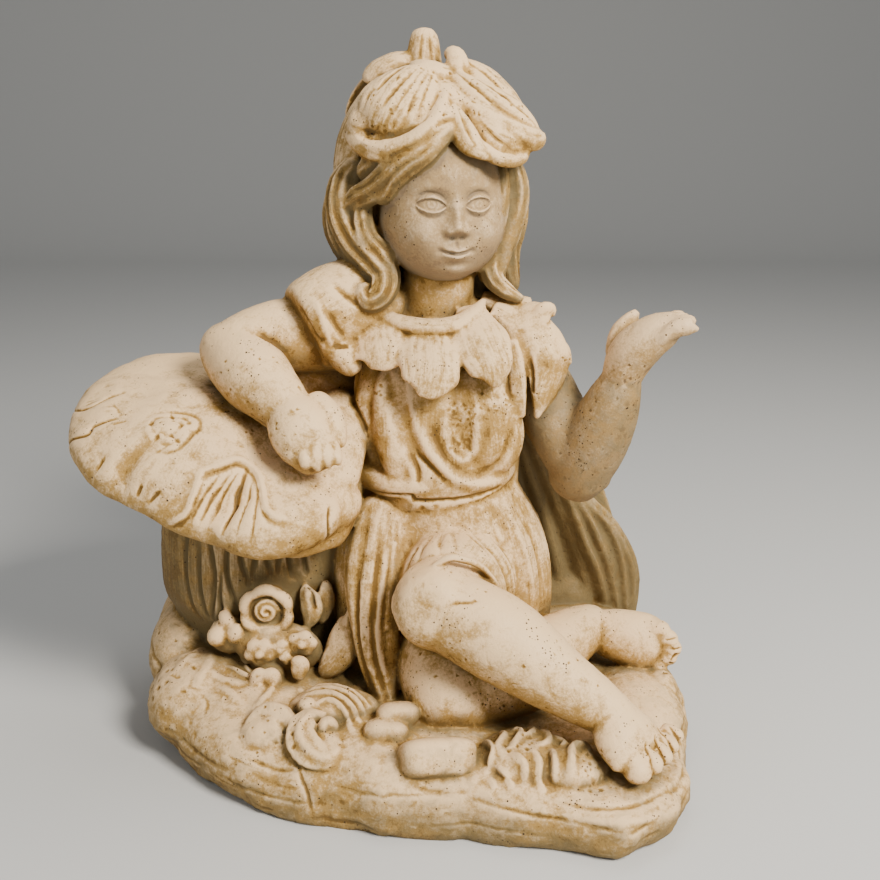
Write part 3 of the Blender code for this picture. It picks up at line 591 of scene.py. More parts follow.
def model_hands_and_feet():
    """The fist on the cap, the raised open hand and both bare feet."""
    palm = Clay("palm", SKIN, ease=6, cell=1.3)
    palm.limb([(-74, -42, 280), (-62, -56, 268), (-52, -67, 254), (-46, -70, 238)],
              [20, 23, 21, 14], [20, 20, 15, 11], facing=(0.1, -1, 0.7), sides=36, rings=28)
    palm.limb([(-54, -38, 286), (-42, -50, 272), (-33, -60, 252)], [11, 13, 10], 10,
              facing=(0.2, -0.8, 0.6))
    palm.done()
    fist = Clay("fist", SKIN, ease=1, cell=1.1)
    for k, (x, size, top, low) in enumerate(((-55, 4.9, 256, 243), (-47.2, 4.6, 259, 241),
                                             (-39.8, 4.5, 257, 243), (-33, 4.0, 254, 244))):
        y = -79 + 2.0 * k
        fist.limb([(x - 1.5, y + 9, top + 5), (x, y, top - 2), (x + 0.6, y - 3, low + 6),
                   (x + 1, y + 1, low)], [size * 0.85, size, size * 0.95, size * 0.8],
                  facing=(0, -1, 0.3), blunt=0.42, sides=18, rings=24)
    fist.blob((-40, -52, 279), (6, 5, 4), (0, 30, 0))
    fist.done()

    hand = Clay("raised_hand", (0.1, 0.8, 0.28), ease=4, cell=1.2)
    hand.limb([(173, -18, 284), (176, -20, 300), (182, -21, 314), (193, -25, 326),
               (206, -28, 334), (216, -31, 338)], [17, 19, 21, 21, 19, 12],
              [17, 17, 17, 15, 12, 8], facing=(0.75, 0.1, -0.65), sides=48, rings=40)
    hand.limb([(172, -10, 304), (175, -5, 322), (181, -3, 333), (187, -3, 343)],
              [11, 10, 8, 4], [9, 8, 6.5, 4], sides=24, rings=24)
    hand.done()
    fingers = Clay("raised_fingers", (0.1, 0.8, 0.28), ease=1, cell=1.1)
    for k in range(4):
        y = -14 - 9.4 * k
        fingers.limb([(194, y, 325), (206, y - 2, 334 + 0.6 * k), (214 + 1.5 * k, y - 3, 339),
                      (219 + (1.5 * k if k < 3 else -2), y - 3, 337)],
                     [6, 6.4, 6.2, 5.2], [6, 6.6, 6.6, 5.8], facing=UP, blunt=0.45,
                     sides=20, rings=24)
    fingers.done()

    feet = Clay("feet", SKIN, ease=1, cell=1.1)
    add_foot(feet, [(160, -122, 80), (168, -136, 68), (178, -144, 58), (184, -150, 54)],
             [20, 25, 27, 22], [20, 17, 12, 9], (0.35, -0.45, 0.82),
             [((166, -146, 59), (177, -161, 51), 9.6), ((176, -145, 59), (188, -157, 54), 7.6),
              ((186, -138, 60), (197, -149, 55), 6.6), ((193, -130, 61), (203, -139, 57), 6.2),
              ((198, -121, 63), (209, -129, 60), 5.8)])
    add_foot(feet, [(160, 0, 80), (184, -7, 78), (208, -12, 74), (220, -15, 71)],
             [21, 22, 23, 19], [18, 16, 14, 11], (0.15, -0.9, 0.4),
             [((208, -11, 84), (219, -14, 87), 7.6), ((213, -13, 79), (226, -17, 80), 7.2),
              ((215, -14, 73), (230, -19, 72), 6.9), ((212, -15, 66), (227, -20, 64), 6.4),
              ((208, -16, 59), (219, -21, 57), 5.8)])
    feet.done()


# ---------------------------------------------------------------- dress
def model_dress():
    """Blouse over the belt line, pleated skirt, and the falls of cloth by the knee."""
    skirt = Clay("skirt", CLOTH, ease=7, cell=1.6)
    skirt.limb([(43, 22, 218), (46, 21, 182), (54, 20, 134), (60, 22, 62)],
               [55, 63, 76, 78], [39, 48, 60, 66], flutes=(13, 0.012), blunt=0.12,
               sides=120, rings=48)
    skirt.limb([(60, 8, 130), (52, -34, 136), (46, -66, 142)], [48, 45, 38], [46, 43, 38],
               facing=UP, blunt=0.14, sides=60, rings=30)
    skirt.limb([(2, -6, 194), (-4, -14, 180), (-10, -30, 147), (-10, -40, 107),
                (-7, -48, 75), (0, -60, 46)], [19, 24, 24, 20, 17, 12],
               [8, 14, 17, 16, 15, 13], flutes=(9, 0.05, 1.5), blunt=0.25, sides=100,
               rings=60)
    skirt.limb([(-16, 16, 208), (-22, 8, 160), (-26, 0, 110), (-22, -10, 50)],
               [18, 20, 20, 18], 20, blunt=0.2, sides=50, rings=36)
    skirt.done()

    blouse = Clay("blouse", CLOTH, ease=5, cell=1.6)
    blouse.limb([(42, 21, 202), (40, 19, 216), (36, 22, 262), (35, 30, 322)],
                [63, 61, 58, 48], [49, 46, 41, 28], blunt=0.07, sides=64, rings=60)
    blouse.limb([(-10, 28, 320), (-10, 16, 280), (-8, 6, 240), (-6, 2, 214)],
                [15, 17, 17, 14], [16, 18, 17, 14], rings=30)
    blouse.limb([(6, 4, 300), (4, -8, 270), (6, -14, 240), (8, -18, 216)],
                [15, 16, 14, 12], [9, 10, 11, 10], rings=30)
    blouse.limb([(-22, 12, 216), (-15, -2, 212), (0, -14, 210), (20, -20, 210),
                 (44, -23, 210)], [8, 10, 10, 9, 7], [9, 10, 10, 8, 6], rings=40)
    blouse.limb([(66, 0, 300), (72, -8, 270), (76, -8, 240), (74, -8, 220)],
                [26, 28, 27, 24], [12, 14, 15, 14], rings=30)
    blouse.done()

    folds = Clay("folds", CLOTH, ease=3, cell=1.3)
    folds.limb([(-24, -26, 116), (-30, -34, 90), (-42, -38, 72), (-54, -40, 60)],
               [9, 11, 12, 7], 7, facing=(-0.3, -1, 0.3), square=0.7, sides=32)
    folds.limb([(-34, -26, 104), (-40, -32, 86), (-48, -37, 70)], [6, 9, 6], 6,
               facing=(-0.4, -1, 0.2), sides=32)
    folds.done()

    hem = Clay("hem", CLOTH, ease=1, cell=1.1)
    hem.limb([(9, -72, 112), (11, -76, 128), (17, -79, 146), (29, -81, 163), (45, -81, 176),
              (58, -79, 174), (70, -73, 166), (81, -65, 150), (89, -57, 130)],
             [1.6, 2.2, 2.4, 2.6, 3, 3, 2.8, 2.4, 1.6], sides=16, rings=70)
    hem.done()


def model_sleeves():
    """Short sleeves: a stepped cuff on the leaning arm, leaves of cloth on the other."""
    sleeves = Clay("sleeves", CLOTH, ease=3, cell=1.3)
    sleeves.limb([(0, 34, 326), (-30, 26, 340), (-64, 10, 326)], [36, 37, 37],
                 facing=UP, blunt=0.1, flutes=(3, 0.03), sides=60, rings=24)
    sleeves.limb([(-36, 2, 322), (-32, -6, 308), (-22, -8, 296)], [13, 12, 8],
                 [12, 11, 8], rings=24)
    sleeves.limb([(90, 30, 324), (106, 24, 304), (118, 18, 288)], [29, 31, 29],
                 blunt=0.16, sides=60, rings=24)
    sleeves.done()

    leaves = Clay("sleeve_leaves", CLOTH, ease=1, cell=1.1)
    leaves.limb([(96, 16, 340), (112, 6, 326), (122, 0, 310), (123, -2, 298),
                 (119, -7, 282), (113, -10, 261)], [12, 17, 19, 18, 12, 2],
                [6, 6.5, 6.5, 6, 5, 4], facing=(0.5, -1, 0.1), blunt=0.22, curl=-0.22,
                square=0.62, ribs=(5, 0.3), sides=72, rings=44)
    leaves.limb([(122, 6, 322), (132, 4, 308), (140, 8, 300)], [8, 9, 2.5], [6, 6, 4],
                facing=(0.6, -1, 0.1), sides=32)
    leaves.limb([(92, -2, 320), (95, -8, 300), (98, -11, 280), (100, -11, 262)],
                [8, 9, 8, 6], [4, 5, 5, 4], facing=(-0.2, -1, 0), blunt=0.2, square=0.6,
                sides=36, rings=36)
    leaves.done()


def model_collar():
    """The flower collar: broad flat petals laid over the chest and both shoulders."""
    thick = bpy.context.scene.statue_sizes.petal_thickness / MM
    collar = Clay("collar", PETAL, ease=1, cell=1.0)
    petals = [
        ([(-32, 16, 350), (-36, 4, 336), (-37, -4, 326), (-33, -12, 312)], [8, 12, 11, 3],
         (-0.4, -1, 0.3)),
        ([(-6, 16, 344), (-7, 0, 331), (-6, -13, 318), (-5, -19, 309), (-6, -20, 301)],
         [12, 19, 21, 18, 9], (-0.2, -1, 0.4)),
        ([(62, 8, 344), (69, -12, 326), (76, -24, 310), (80, -28, 300), (81, -29, 290)],
         [14, 21, 20, 13, 4], (0.15, -1, 0.35)),
        ([(32, 4, 334), (32, -20, 318), (33, -30, 305), (32, -36, 294), (29, -38, 284)],
         [17, 22, 23, 18, 7], (0, -1, 0.3)),
        ([(80, 12, 342), (98, 8, 333), (114, 8, 338), (124, 10, 342)], [9, 12, 11, 5],
         (0.1, -1, 0.7)),
        ([(72, 26, 348), (92, 22, 344), (110, 20, 344)], [11, 14, 8], (0.2, -0.5, 1)),
        ([(20, 62, 340), (0, 74, 322), (-8, 76, 290)], [14, 20, 7], (0, 1, 0.3)),
        ([(46, 64, 340), (56, 76, 320), (62, 76, 288)], [14, 20, 7], (0.1, 1, 0.3)),
        ([(74, 50, 344), (92, 56, 332), (106, 56, 308)], [14, 20, 7], (0.4, 0.8, 0.4)),
        ([(-4, 50, 344), (-32, 56, 336), (-50, 56, 314)], [14, 20, 7], (-0.4, 0.8, 0.4)),
    ]
    for path, wide, facing in petals:
        collar.limb(path, wide, thick / 2, facing, blunt=0.2, curl=-0.16, square=0.6,
                    ribs=(7, 0.5), frill=(2.5, 0.05), sides=84, rings=44)
    collar.limb([(-12, 16, 344), (2, 0, 337), (18, -8, 333), (35, -11, 332), (52, -8, 334),
                 (66, 2, 341), (74, 14, 348)], [4, 6, 7, 7, 7, 6, 4], 5, facing=(0, -0.6, 0.8),
                sides=24, rings=50)
    collar.limb([(110, 6, 337), (118, 6, 343), (124, 9, 342), (126, 12, 336)],
                [4, 4.6, 4, 2.5], 4)
    collar.done()


# ---------------------------------------------------------------- head
EYE_OUT = 17.4
EYE_UP = 1.0
EYE_HALF_WIDTH = 10.2


def eye_relief(x, z):
    """Eyeballs, lids and lid creases, forward of the socket floor."""
    out = np.abs(x) - EYE_OUT
    up = z - EYE_UP - 0.05 * out
    reach = np.clip(1 - (out / EYE_HALF_WIDTH) ** 2, 0, 1)
    ball = np.clip(5.0 - (out ** 2 + 1.3 * up ** 2) / 19, 0, None)
    upper, lower = 4.8 * reach ** 0.75, -3.7 * reach ** 0.9
    gap = np.minimum(upper - up, up - lower)
    inside = smooth_step(gap, -0.5, 0.4) * (reach > 0)
    lid = 2.0 * bump(np.clip(-gap, 0, None), 0, 2.4) * smooth_step(reach, -0.2, 0.3)
    crease = 1.3 * bump(up - upper, 3.8, 1.1) * reach
    ring = np.hypot(out * 0.95, up - 0.4)
    iris = 0.4 * bump(ring, 3.4, 0.8) + 0.5 * bump(ring, 0, 1.5)
    return ball + lid * (1 - inside) - crease - iris * inside - 0.6 * inside


# Rises and hollows of the face: height, place out from the middle, half width, place up
# and half height.
FACE_FORMS = (
    # Brow, eye socket and cheek.
    (3.0, 0, 26, 32, 18), (-5.4, EYE_OUT - 1, 11.5, EYE_UP + 1, 8), (6.0, 25, 13, -21, 14),
    # Nose: a low bridge, a button tip, wings and nostrils.
    (2.0, 0, 5.2, 0, 8), (4.6, 0, 4.8, -8, 6.5), (8.6, 0, 6.0, -15.5, 5.0),
    (4.0, 6.6, 3.2, -17.2, 3.2), (-2.6, 3.4, 1.9, -21.4, 1.5),
    # Mouth: mound, groove above and corners. Then the dip above the chin, and the chin.
    (4.2, 0, 15, -32, 9.5), (-0.9, 0, 1.5, -26.5, 2.4), (-1.8, 11.4, 2.4, -30.8, 2.3),
    (-2.0, 0, 9, -40.5, 2.8), (4.6, 0, 10.5, -47, 7.5),
)


def face_relief(x, z):
    """How far a calm child's face on plain proportions stands forward of the oval."""
    side = np.abs(x)
    rise = eye_relief(x, z)
    for height, out, wide, up, tall in FACE_FORMS:
        rise = rise + height * bump(side, out, wide) * bump(z, up, tall)
    eyebrow = 14 - 0.012 * (side - 17) ** 2
    rise = rise + 0.8 * bump(z, eyebrow, 3.0) * bump(side, 18, 11)
    # Both lips, and the line between them.
    line = -32.5 + 0.016 * x ** 2
    bow = line + 2.4 - 0.6 * bump(x, 0, 2.2)
    rise = rise + 2.4 * bump(z, bow, 1.7) * bump(x, 0, 7.4)
    rise = rise + 3.0 * bump(z, line - 3.0, 2.2) * bump(x, 0, 6.0)
    return rise - 2.6 * bump(z, line, 1.0) * smooth_step(11.8 - side, 0, 5)


def model_head():
    """The head: a round skull with full cheeks and the face raised on its front."""
    sizes = bpy.context.scene.statue_sizes
    half_width = sizes.head_half_width / MM
    half_height = half_width * 1.24
    half_depth = half_width * 1.12
    spin = turned(HEAD_TURN)
    head = Clay("head", (0.0, 0.8, 0.36))

    def shape(a, b, polar):
        deep = b * np.sin(polar)
        up = np.cos(polar)
        full = 1 + 0.06 * bump(up, -0.42, 0.3) + 0.08 * bump(up, -0.8, 0.22)
        x = half_width * a * np.sin(polar) * full * (1 - 0.03 * bump(up, 0.1, 0.3))
        front = smooth_step(-deep, 0.05, 0.6)
        y = half_depth * np.sign(deep) * np.abs(deep) ** 0.86
        y = y - 9 * front * smooth_step(-up, 0.15, 0.9)
        z = half_height * up
        y = y - front * face_relief(x, z)
        places = np.stack([x, y, z], axis=1)
        return places @ spin.T + np.array(HEAD_CENTRE), places[:, :2]

    head.form(420, 280, shape)
    head.done()


def model_hair():
    """Wavy locks down to the shoulders, a swept fringe and a full back of hair."""
    mass = Clay("hair_mass", STRANDS, ease=1, cell=1.4)
    mass.blob((35, 48, 430), (54, 52, 58), sides=48, rings=32)
    mass.limb([(34, 64, 440), (32, 78, 392), (34, 74, 350), (36, 60, 314)],
              [46, 52, 48, 36], [24, 26, 22, 14], facing=(0, 1, 0), blunt=0.3, sides=60,
              rings=30)
    mass.limb([(-16, 34, 452), (-22, 32, 420), (-18, 28, 384), (-8, 26, 356)],
              [17, 18, 17, 12], [20, 22, 20, 16], facing=(-0.6, -0.8, 0))
    mass.limb([(86, 34, 452), (90, 32, 420), (82, 28, 384), (78, 26, 358)],
              [14, 14, 12, 12], [18, 18, 16, 14], facing=(0.6, -0.8, 0))
    mass.done()

    hair = Clay("locks", STRANDS, ease=1, cell=1.1)
    locks = [
        ([(-22, 26, 452), (-32, 24, 434), (-33, 20, 413), (-24, 14, 394), (-10, 7, 380),
          (-1, 1, 368), (-4, -4, 355), (-13, -6, 350), (-18, -4, 358), (-12, -4, 363)],
         [9, 12, 12, 12, 12, 11, 10, 8, 6, 3]),
        ([(-10, 12, 432), (-17, 9, 413), (-13, 5, 396), (-1, 1, 383), (4, 0, 371)],
         [6, 8, 8, 8, 5]),
        ([(-30, 36, 444), (-37, 34, 421), (-38, 34, 401), (-31, 30, 382), (-24, 24, 366)],
         [9, 10, 10, 9, 5]),
        ([(-4, 12, 402), (-12, 10, 386), (-14, 8, 370), (-4, 4, 356)], [5, 6, 6, 4]),
        ([(-18, 46, 446), (-30, 52, 410), (-24, 50, 380), (-36, 42, 350)], [14, 16, 14, 8]),
        ([(90, 26, 456), (96, 25, 440), (97, 26, 424), (93, 26, 408), (84, 24, 391),
          (78, 20, 377), (80, 17, 364), (91, 14, 354), (103, 12, 348)],
         [7, 9, 10, 10, 9, 8, 8, 7, 5]),
        ([(86, 10, 448), (85, 11, 430), (82, 12, 408), (75, 12, 388), (68, 12, 369)],
         [5, 6.5, 7, 7, 5]),
        ([(92, 36, 440), (95, 38, 416), (90, 36, 394), (82, 32, 374), (88, 26, 352)],
         [8, 10, 10, 9, 6]),
        ([(86, 46, 450), (92, 52, 414), (88, 50, 382), (98, 42, 350)], [14, 15, 14, 8]),
    ]
    for k, (path, wide) in enumerate(locks):
        hair.limb(path, wide, facing=(0, -1, 0.1), flutes=(7, 0.16, 2.5 - k), sides=84,
                  rings=56)
    fringe = [
        ([(50, -18, 476), (40, -22, 467), (26, -22, 458), (12, -17, 450), (2, -10, 440),
          (-9, -1, 430), (-20, 8, 424), (-31, 16, 416)],
         [5, 9, 11, 11, 10, 10, 10, 7], [6, 8, 9, 9, 9, 9, 9, 7]),
        ([(44, -24, 466), (32, -26, 456), (20, -22, 448), (9, -15, 438), (2, -8, 427),
          (-3, -2, 421)], [4, 7, 8, 7.5, 6, 4], 7),
        ([(44, -14, 476), (28, -18, 471), (10, -12, 462), (-6, -2, 450), (-18, 10, 440)],
         [6, 9, 10, 10, 8], 8),
    ]
    for path, wide, thick in fringe:
        hair.limb(path, wide, thick, facing=(-0.2, -1, 0.2), flutes=(7, 0.14, 1.5),
                  sides=84, rings=52)
    strands = 9
    for k in range(strands):
        t = k / (strands - 1)
        x = -12 + 98 * t
        fan = (t - 0.5) * 2
        swing = 7 * math.sin(2.4 * k)
        hair.limb([(x, 84 - 20 * fan ** 2, 446), (x + 3 * fan + swing, 102 - 26 * fan ** 2, 404),
                   (x + 4 * fan - swing, 97 - 24 * fan ** 2, 362),
                   (36 + (x - 36) * 0.86 + swing, 78 - 14 * fan ** 2, 318)],
                  [9, 11, 11, 5], 10, facing=(0, 1, 0), flutes=(7, 0.13, 2 * fan),
                  sides=48, rings=44)
    hair.done()


def model_hat():
    """The upturned flower worn as a hat: stub, knot and drooping, rolled petals."""
    top = DESIGN_HEIGHT
    crown = Clay("hat_crown", PETAL, ease=1, cell=1.4)
    crown.limb([(29, 50, top - 38), (28, 54, top - 20), (28, 58, top - 1)], [16, 12.5, 12],
               blunt=0.5, flutes=(7, 0.03), sides=48, rings=24)
    crown.blob((34, 40, 476), (52, 52, 36), sides=48, rings=32)
    crown.done()

    hat = Clay("hat", PETAL, ease=1, cell=1.1)
    hat.limb([(18, 36, 514), (28, 26, 513), (40, 24, 510), (49, 26, 508)], [5, 10, 11, 6], 8,
             facing=(0, -0.4, 1), ribs=(3, 0.6), sides=40)
    hat.limb([(49, 24, 503), (53, 26, 514), (51, 32, 523), (44, 36, 526)], [5, 8, 8, 5], 6,
             facing=(0.3, -1, 0.3), blunt=0.3, ribs=(3, 0.5), sides=40)
    petals = [
        # Back left, hanging left, the two behind, right behind, then left and right fronts.
        ([(26, 50, 523), (8, 52, 522), (-7, 52, 516), (-16, 48, 506)], [9, 13, 14, 9],
         (-0.3, -0.4, 1), 10, (5, 0.5)),
        ([(2, 46, 508), (-16, 44, 492), (-28, 40, 470), (-34, 36, 446), (-35, 34, 428)],
         [14, 20, 22, 18, 9], (-0.9, -0.5, 0.2), 9, (7, 0.6)),
        ([(30, 56, 516), (4, 74, 500), (-8, 86, 474), (-8, 84, 444)], [14, 30, 30, 12],
         (-0.3, 1, 0.4), 10, (9, 0.8)),
        ([(42, 56, 516), (62, 72, 500), (74, 82, 472), (76, 78, 442)], [14, 28, 28, 12],
         (0.5, 0.9, 0.4), 10, (9, 0.8)),
        ([(54, 44, 520), (72, 36, 511), (88, 30, 496), (101, 26, 480)], [10, 17, 20, 14],
         (0.5, -0.3, 0.8), 12, (5, 0.5)),
        ([(32, 30, 513), (20, 8, 502), (8, -7, 486), (0, -10, 468)], [12, 26, 32, 27],
         (-0.2, -1, 0.45), 22, (11, 0.9)),
        ([(47, 28, 512), (61, 14, 501), (78, 5, 489), (95, 4, 480), (110, 8, 470)],
         [6, 13, 16, 15, 8], (0.25, -0.9, 0.6), 15, (7, 0.9)),
        # The leaf over the brow and the cupped petal beside it.
        ([(49, -4, 489), (54, -16, 476), (61, -24, 463), (73, -25, 452)], [4, 8.5, 9, 3],
         (0.05, -1, 0.25), 11, (3, 0.5)),
        ([(60, 0, 486), (73, -10, 472), (86, -13, 462), (99, -4, 458)], [7, 13, 14, 9],
         (0.3, -1, 0.1), 12, (5, 0.5)),
    ]
    for path, wide, facing, thick, ribs in petals:
        hat.limb(path, wide, thick / 2, facing, blunt=0.5, curl=-0.2, ribs=ribs, sides=84,
                 rings=44)
    rolls = [
        ([(-24, 16, 476), (-21, 4, 466), (-8, -8, 459), (9, -15, 460), (25, -19, 467),
          (36, -17, 478), (42, -7, 491), (43, 8, 502)],
         [5, 7.5, 9, 9.5, 8.5, 7, 5, 3], [5, 8, 9, 9.5, 9, 7, 5, 3]),
        ([(46, 18, 503), (59, 3, 489), (76, -5, 477), (94, -5, 469), (108, 2, 465),
          (113, 12, 468)], [4, 6, 7.5, 8.5, 8.5, 6], [4, 6, 7, 8, 8, 6]),
        ([(58, -12, 474), (66, -20, 463), (76, -22, 455), (88, -19, 451), (98, -8, 453),
          (103, 4, 459)], [3, 4.5, 5, 5, 5, 3], 5),
    ]
    for path, wide, thick in rolls:
        hat.limb(path, wide, thick, flutes=(6, 0.07, 5), sides=60, rings=60)
    hat.blob((92, 10, 468), (16, 12, 11), (0, 20, 0))
    hat.blob((-12, 6, 475), (15, 14, 14))
    hat.blob((45, -12, 480), (6, 7, 8))
    hat.done()


# ---------------------------------------------------------------- wings
WING_BLADES = [
    ([(88, 56, 262), (100, 62, 196), (112, 76, 146), (122, 88, 100), (130, 96, 50)], 11),
    ([(92, 56, 262), (112, 62, 196), (129, 77, 146), (143, 89, 100), (153, 97, 50)], 11),
    ([(96, 56, 262), (124, 62, 196), (146, 78, 146), (164, 90, 102), (176, 98, 58)], 10),
    ([(104, 58, 240), (142, 64, 178), (163, 78, 128), (180, 90, 90), (192, 98, 52)], 9),
    ([(112, 60, 224), (152, 66, 172), (175, 80, 128), (190, 92, 89), (202, 99, 48)], 8),
    ([(118, 64, 210), (162, 70, 166), (186, 84, 134), (200, 94, 98), (210, 100, 44)], 7.5),
    ([(122, 68, 200), (170, 76, 158), (195, 90, 124), (210, 98, 88), (214, 104, 40)], 6.5),
]


def model_wings():
    """Both folded wings: long overlapping blades from the shoulder blade to the rock."""
    centre, far_reach, far_back = 40, 0.86, 14
    wings = Clay("wings", WING, ease=1, cell=1.3)
    for path, wide in WING_BLADES:
        wings.limb(path, [wide * 0.7, wide, wide * 1.1, wide * 1.15, wide], [9, 13, 13, 12, 9],
                   facing=(0.5, -1, 0.3), blunt=0.3, flutes=(5, 0.09, 1), sides=48, rings=50)
        far = [(centre - far_reach * (x - centre), y + far_back, z) for x, y, z in path]
        wings.limb(far, wide * 1.05, 11, facing=(-0.5, 1, 0.3), blunt=0.3,
                   flutes=(5, 0.06, 1), sides=36, rings=36)
    for side in (-0.88, 1.0):
        wings.blob((centre + side * 96, 92, 66), (42, 15, 36))
        wings.limb([(centre + side * 50, 74, 250), (centre + side * 104, 92, 168),
                    (centre + side * 140, 108, 60)], [24, 40, 36], 9,
                   facing=(math.copysign(0.5, side), 1, 0), sides=40, rings=40)
    wings.done()


# ---------------------------------------------------------------- the fused skin
def worked_out(obj):
    """A mesh of the object as its modifiers leave it, and the modifiers taken off."""
    graph = bpy.context.evaluated_depsgraph_get()
    mesh = bpy.data.meshes.new_from_object(obj.evaluated_get(graph))
    obj.modifiers.clear()
    return mesh


def eased(obj, passes):
    """The object's mesh, smoothed by a number of passes."""
    soften = obj.modifiers.new("ease", "SMOOTH")
    soften.factor = 0.5
    soften.iterations = passes
    return worked_out(obj)


def fused(obj, cell, passes):
    """The object's forms fused into one skin of square cells (mm) and eased."""
    skin = obj.modifiers.new("fuse", "REMESH")
    skin.mode = "VOXEL"
    skin.voxel_size = cell * MM
    return eased(obj, passes)


class Skin:
    """The surface of the casting, worked with strokes in millimetres."""

    def __init__(self, mesh, tree):
        self.mesh = mesh
        self.tree = tree
        self.places = rows_of(mesh.vertices, "co", 3) / MM
        self.normals = rows_of(mesh.vertex_normals, "vector", 3)
        self.order = np.argsort(self.places[:, 0])
        self.sorted_x = self.places[self.order, 0]

    def within(self, low, high):
        """Indices of the vertices in a box."""
        first, last = np.searchsorted(self.sorted_x, (low[0], high[0]))
        near = self.order[first:last]
        co = self.places[near]
        return near[np.all((co >= low) & (co <= high), axis=1)]

    def dropped(self, line):
        """The points of a line moved onto the surface."""
        return np.array([self.tree.find_nearest(Vector(p) * MM)[0] for p in line]) / MM

    def stroke(self, points, width, depth, taper=0.5):
        """Press a groove along points near the surface, or raise a ridge below zero."""
        span = np.array(points, dtype=float)
        length = np.sum(np.linalg.norm(np.diff(span, axis=0), axis=1))
        steps = max(int(length / max(width * 0.35, 0.8)), 3)
        s = np.linspace(0, 1, steps)
        line = self.dropped(curve_through(points, s))
        reach = width * 2.2
        near = self.within(line.min(axis=0) - reach, line.max(axis=0) + reach)
        best = np.full(len(near), 1e9)
        where = np.zeros(len(near))
        for k in range(len(line) - 1):
            a, b = line[k], line[k + 1]
            ab = b - a
            ap = self.places[near] - a
            t = np.clip(ap @ ab / max(ab @ ab, 1e-9), 0, 1)
            away = np.linalg.norm(ap - t[:, None] * ab, axis=1)
            closer = away < best
            best[closer] = away[closer]
            where[closer] = (k + t[closer]) / (len(line) - 1)
        ends = np.clip(np.sin(np.pi * np.clip(where, 0.02, 0.98)), 0, 1) ** taper
        push = -depth * np.exp(-(best / width) ** 2) * ends
        self.places[near] += self.normals[near] * push[:, None]

    def dent(self, centre, radius, depth):
        """Press one round pit."""
        near = self.within(centre - radius * 1.6, centre + radius * 1.6)
        away = np.linalg.norm(self.places[near] - centre, axis=1)
        push = -depth * np.exp(-(away / radius) ** 3)
        self.places[near] += self.normals[near] * push[:, None]

    def pepper(self, low, high, count, radius, depth, seed):
        """Pit a box of the surface with air bubbles of mixed sizes."""
        rng = np.random.RandomState(seed)
        near = self.within(np.array(low, dtype=float), np.array(high, dtype=float))
        for index in rng.choice(near, min(count, len(near)), replace=False):
            size = rng.uniform(0.6, 1.2)
            self.dent(self.places[index].copy(), radius * size, depth * size)

    def store(self):
        """Write the worked places back to the mesh."""
        self.mesh.vertices.foreach_set("co", (self.places * MM).ravel())
        self.mesh.update()


# Strokes are (points, half width, depth); a depth below zero raises a ridge.
BLOUSE_STROKES = [
    ([(-24, 14, 284), (-18, 1, 265), (-11, -8, 249), (-5, -15, 232)], 6, -3),
    ([(-30, 10, 300), (-26, 6, 268), (-20, 0, 240), (-15, -5, 222)], 4, 3.4),
    ([(0, 0, 300), (4, -13, 276), (10, -19, 255), (15, -24, 239)], 6, 3.4),
    ([(14, -20, 308), (16, -12, 286), (20, -20, 266), (27, -25, 247), (38, -28, 231),
      (52, -28, 218), (68, -28, 213), (86, -22, 212), (99, -10, 217)], 4.5, -3.6),
    ([(19, -25, 241), (28, -27, 233), (37, -27, 225), (46, -27, 216)], 2.5, 3.4),
    ([(12, -22, 240), (17, -24, 226), (20, -27, 216)], 3.5, -2.2),
    ([(18, -24, 238), (23, -25, 225), (24, -28, 215)], 2.2, 2.4),
    ([(45, -23, 272), (45, -26, 252), (50, -27, 237), (59, -27, 232), (66, -25, 242),
      (68, -21, 264), (67, -14, 284)], 3.6, -2.6),
    ([(34, -24, 262), (38, -26, 246), (48, -28, 230)], 3.6, 2.4),
    ([(60, -26, 223), (74, -23, 220), (84, -19, 228), (90, -15, 244), (90, -10, 266)], 4.0,
     3.2),
    ([(93, -3, 285), (96, -6, 264), (98, -8, 245), (104, -5, 222)], 4, -2.4),
]
SLEEVE_STROKES = [
    ([(-59, -8, 347), (-53, -12, 334), (-45, -14, 321)], 2.6, 3.2),
    ([(-52, -8, 350), (-46, -14, 334), (-40, -14, 316)], 2.4, -2.4),
    ([(-44, -8, 344), (-38, -12, 334), (-31, -12, 324)], 2.8, 3.4),
    ([(-39, 0, 357), (-30, -4, 352), (-21, -8, 347)], 2.4, 3.0),
    ([(-39, -8, 317), (-33, -8, 314), (-28, -10, 316)], 2.0, 3.0),
    ([(84, -2, 320), (90, -10, 300), (93, -12, 276)], 2.0, 3.0),
    ([(106, -8, 312), (108, -12, 292), (107, -13, 268)], 1.8, 2.6),
]
BELT_LINE = [(-18, -12, 203), (-8, -22, 201), (6, -30, 199), (22, -35, 198), (40, -37, 199),
             (60, -35, 200), (78, -29, 202), (92, -19, 204)]
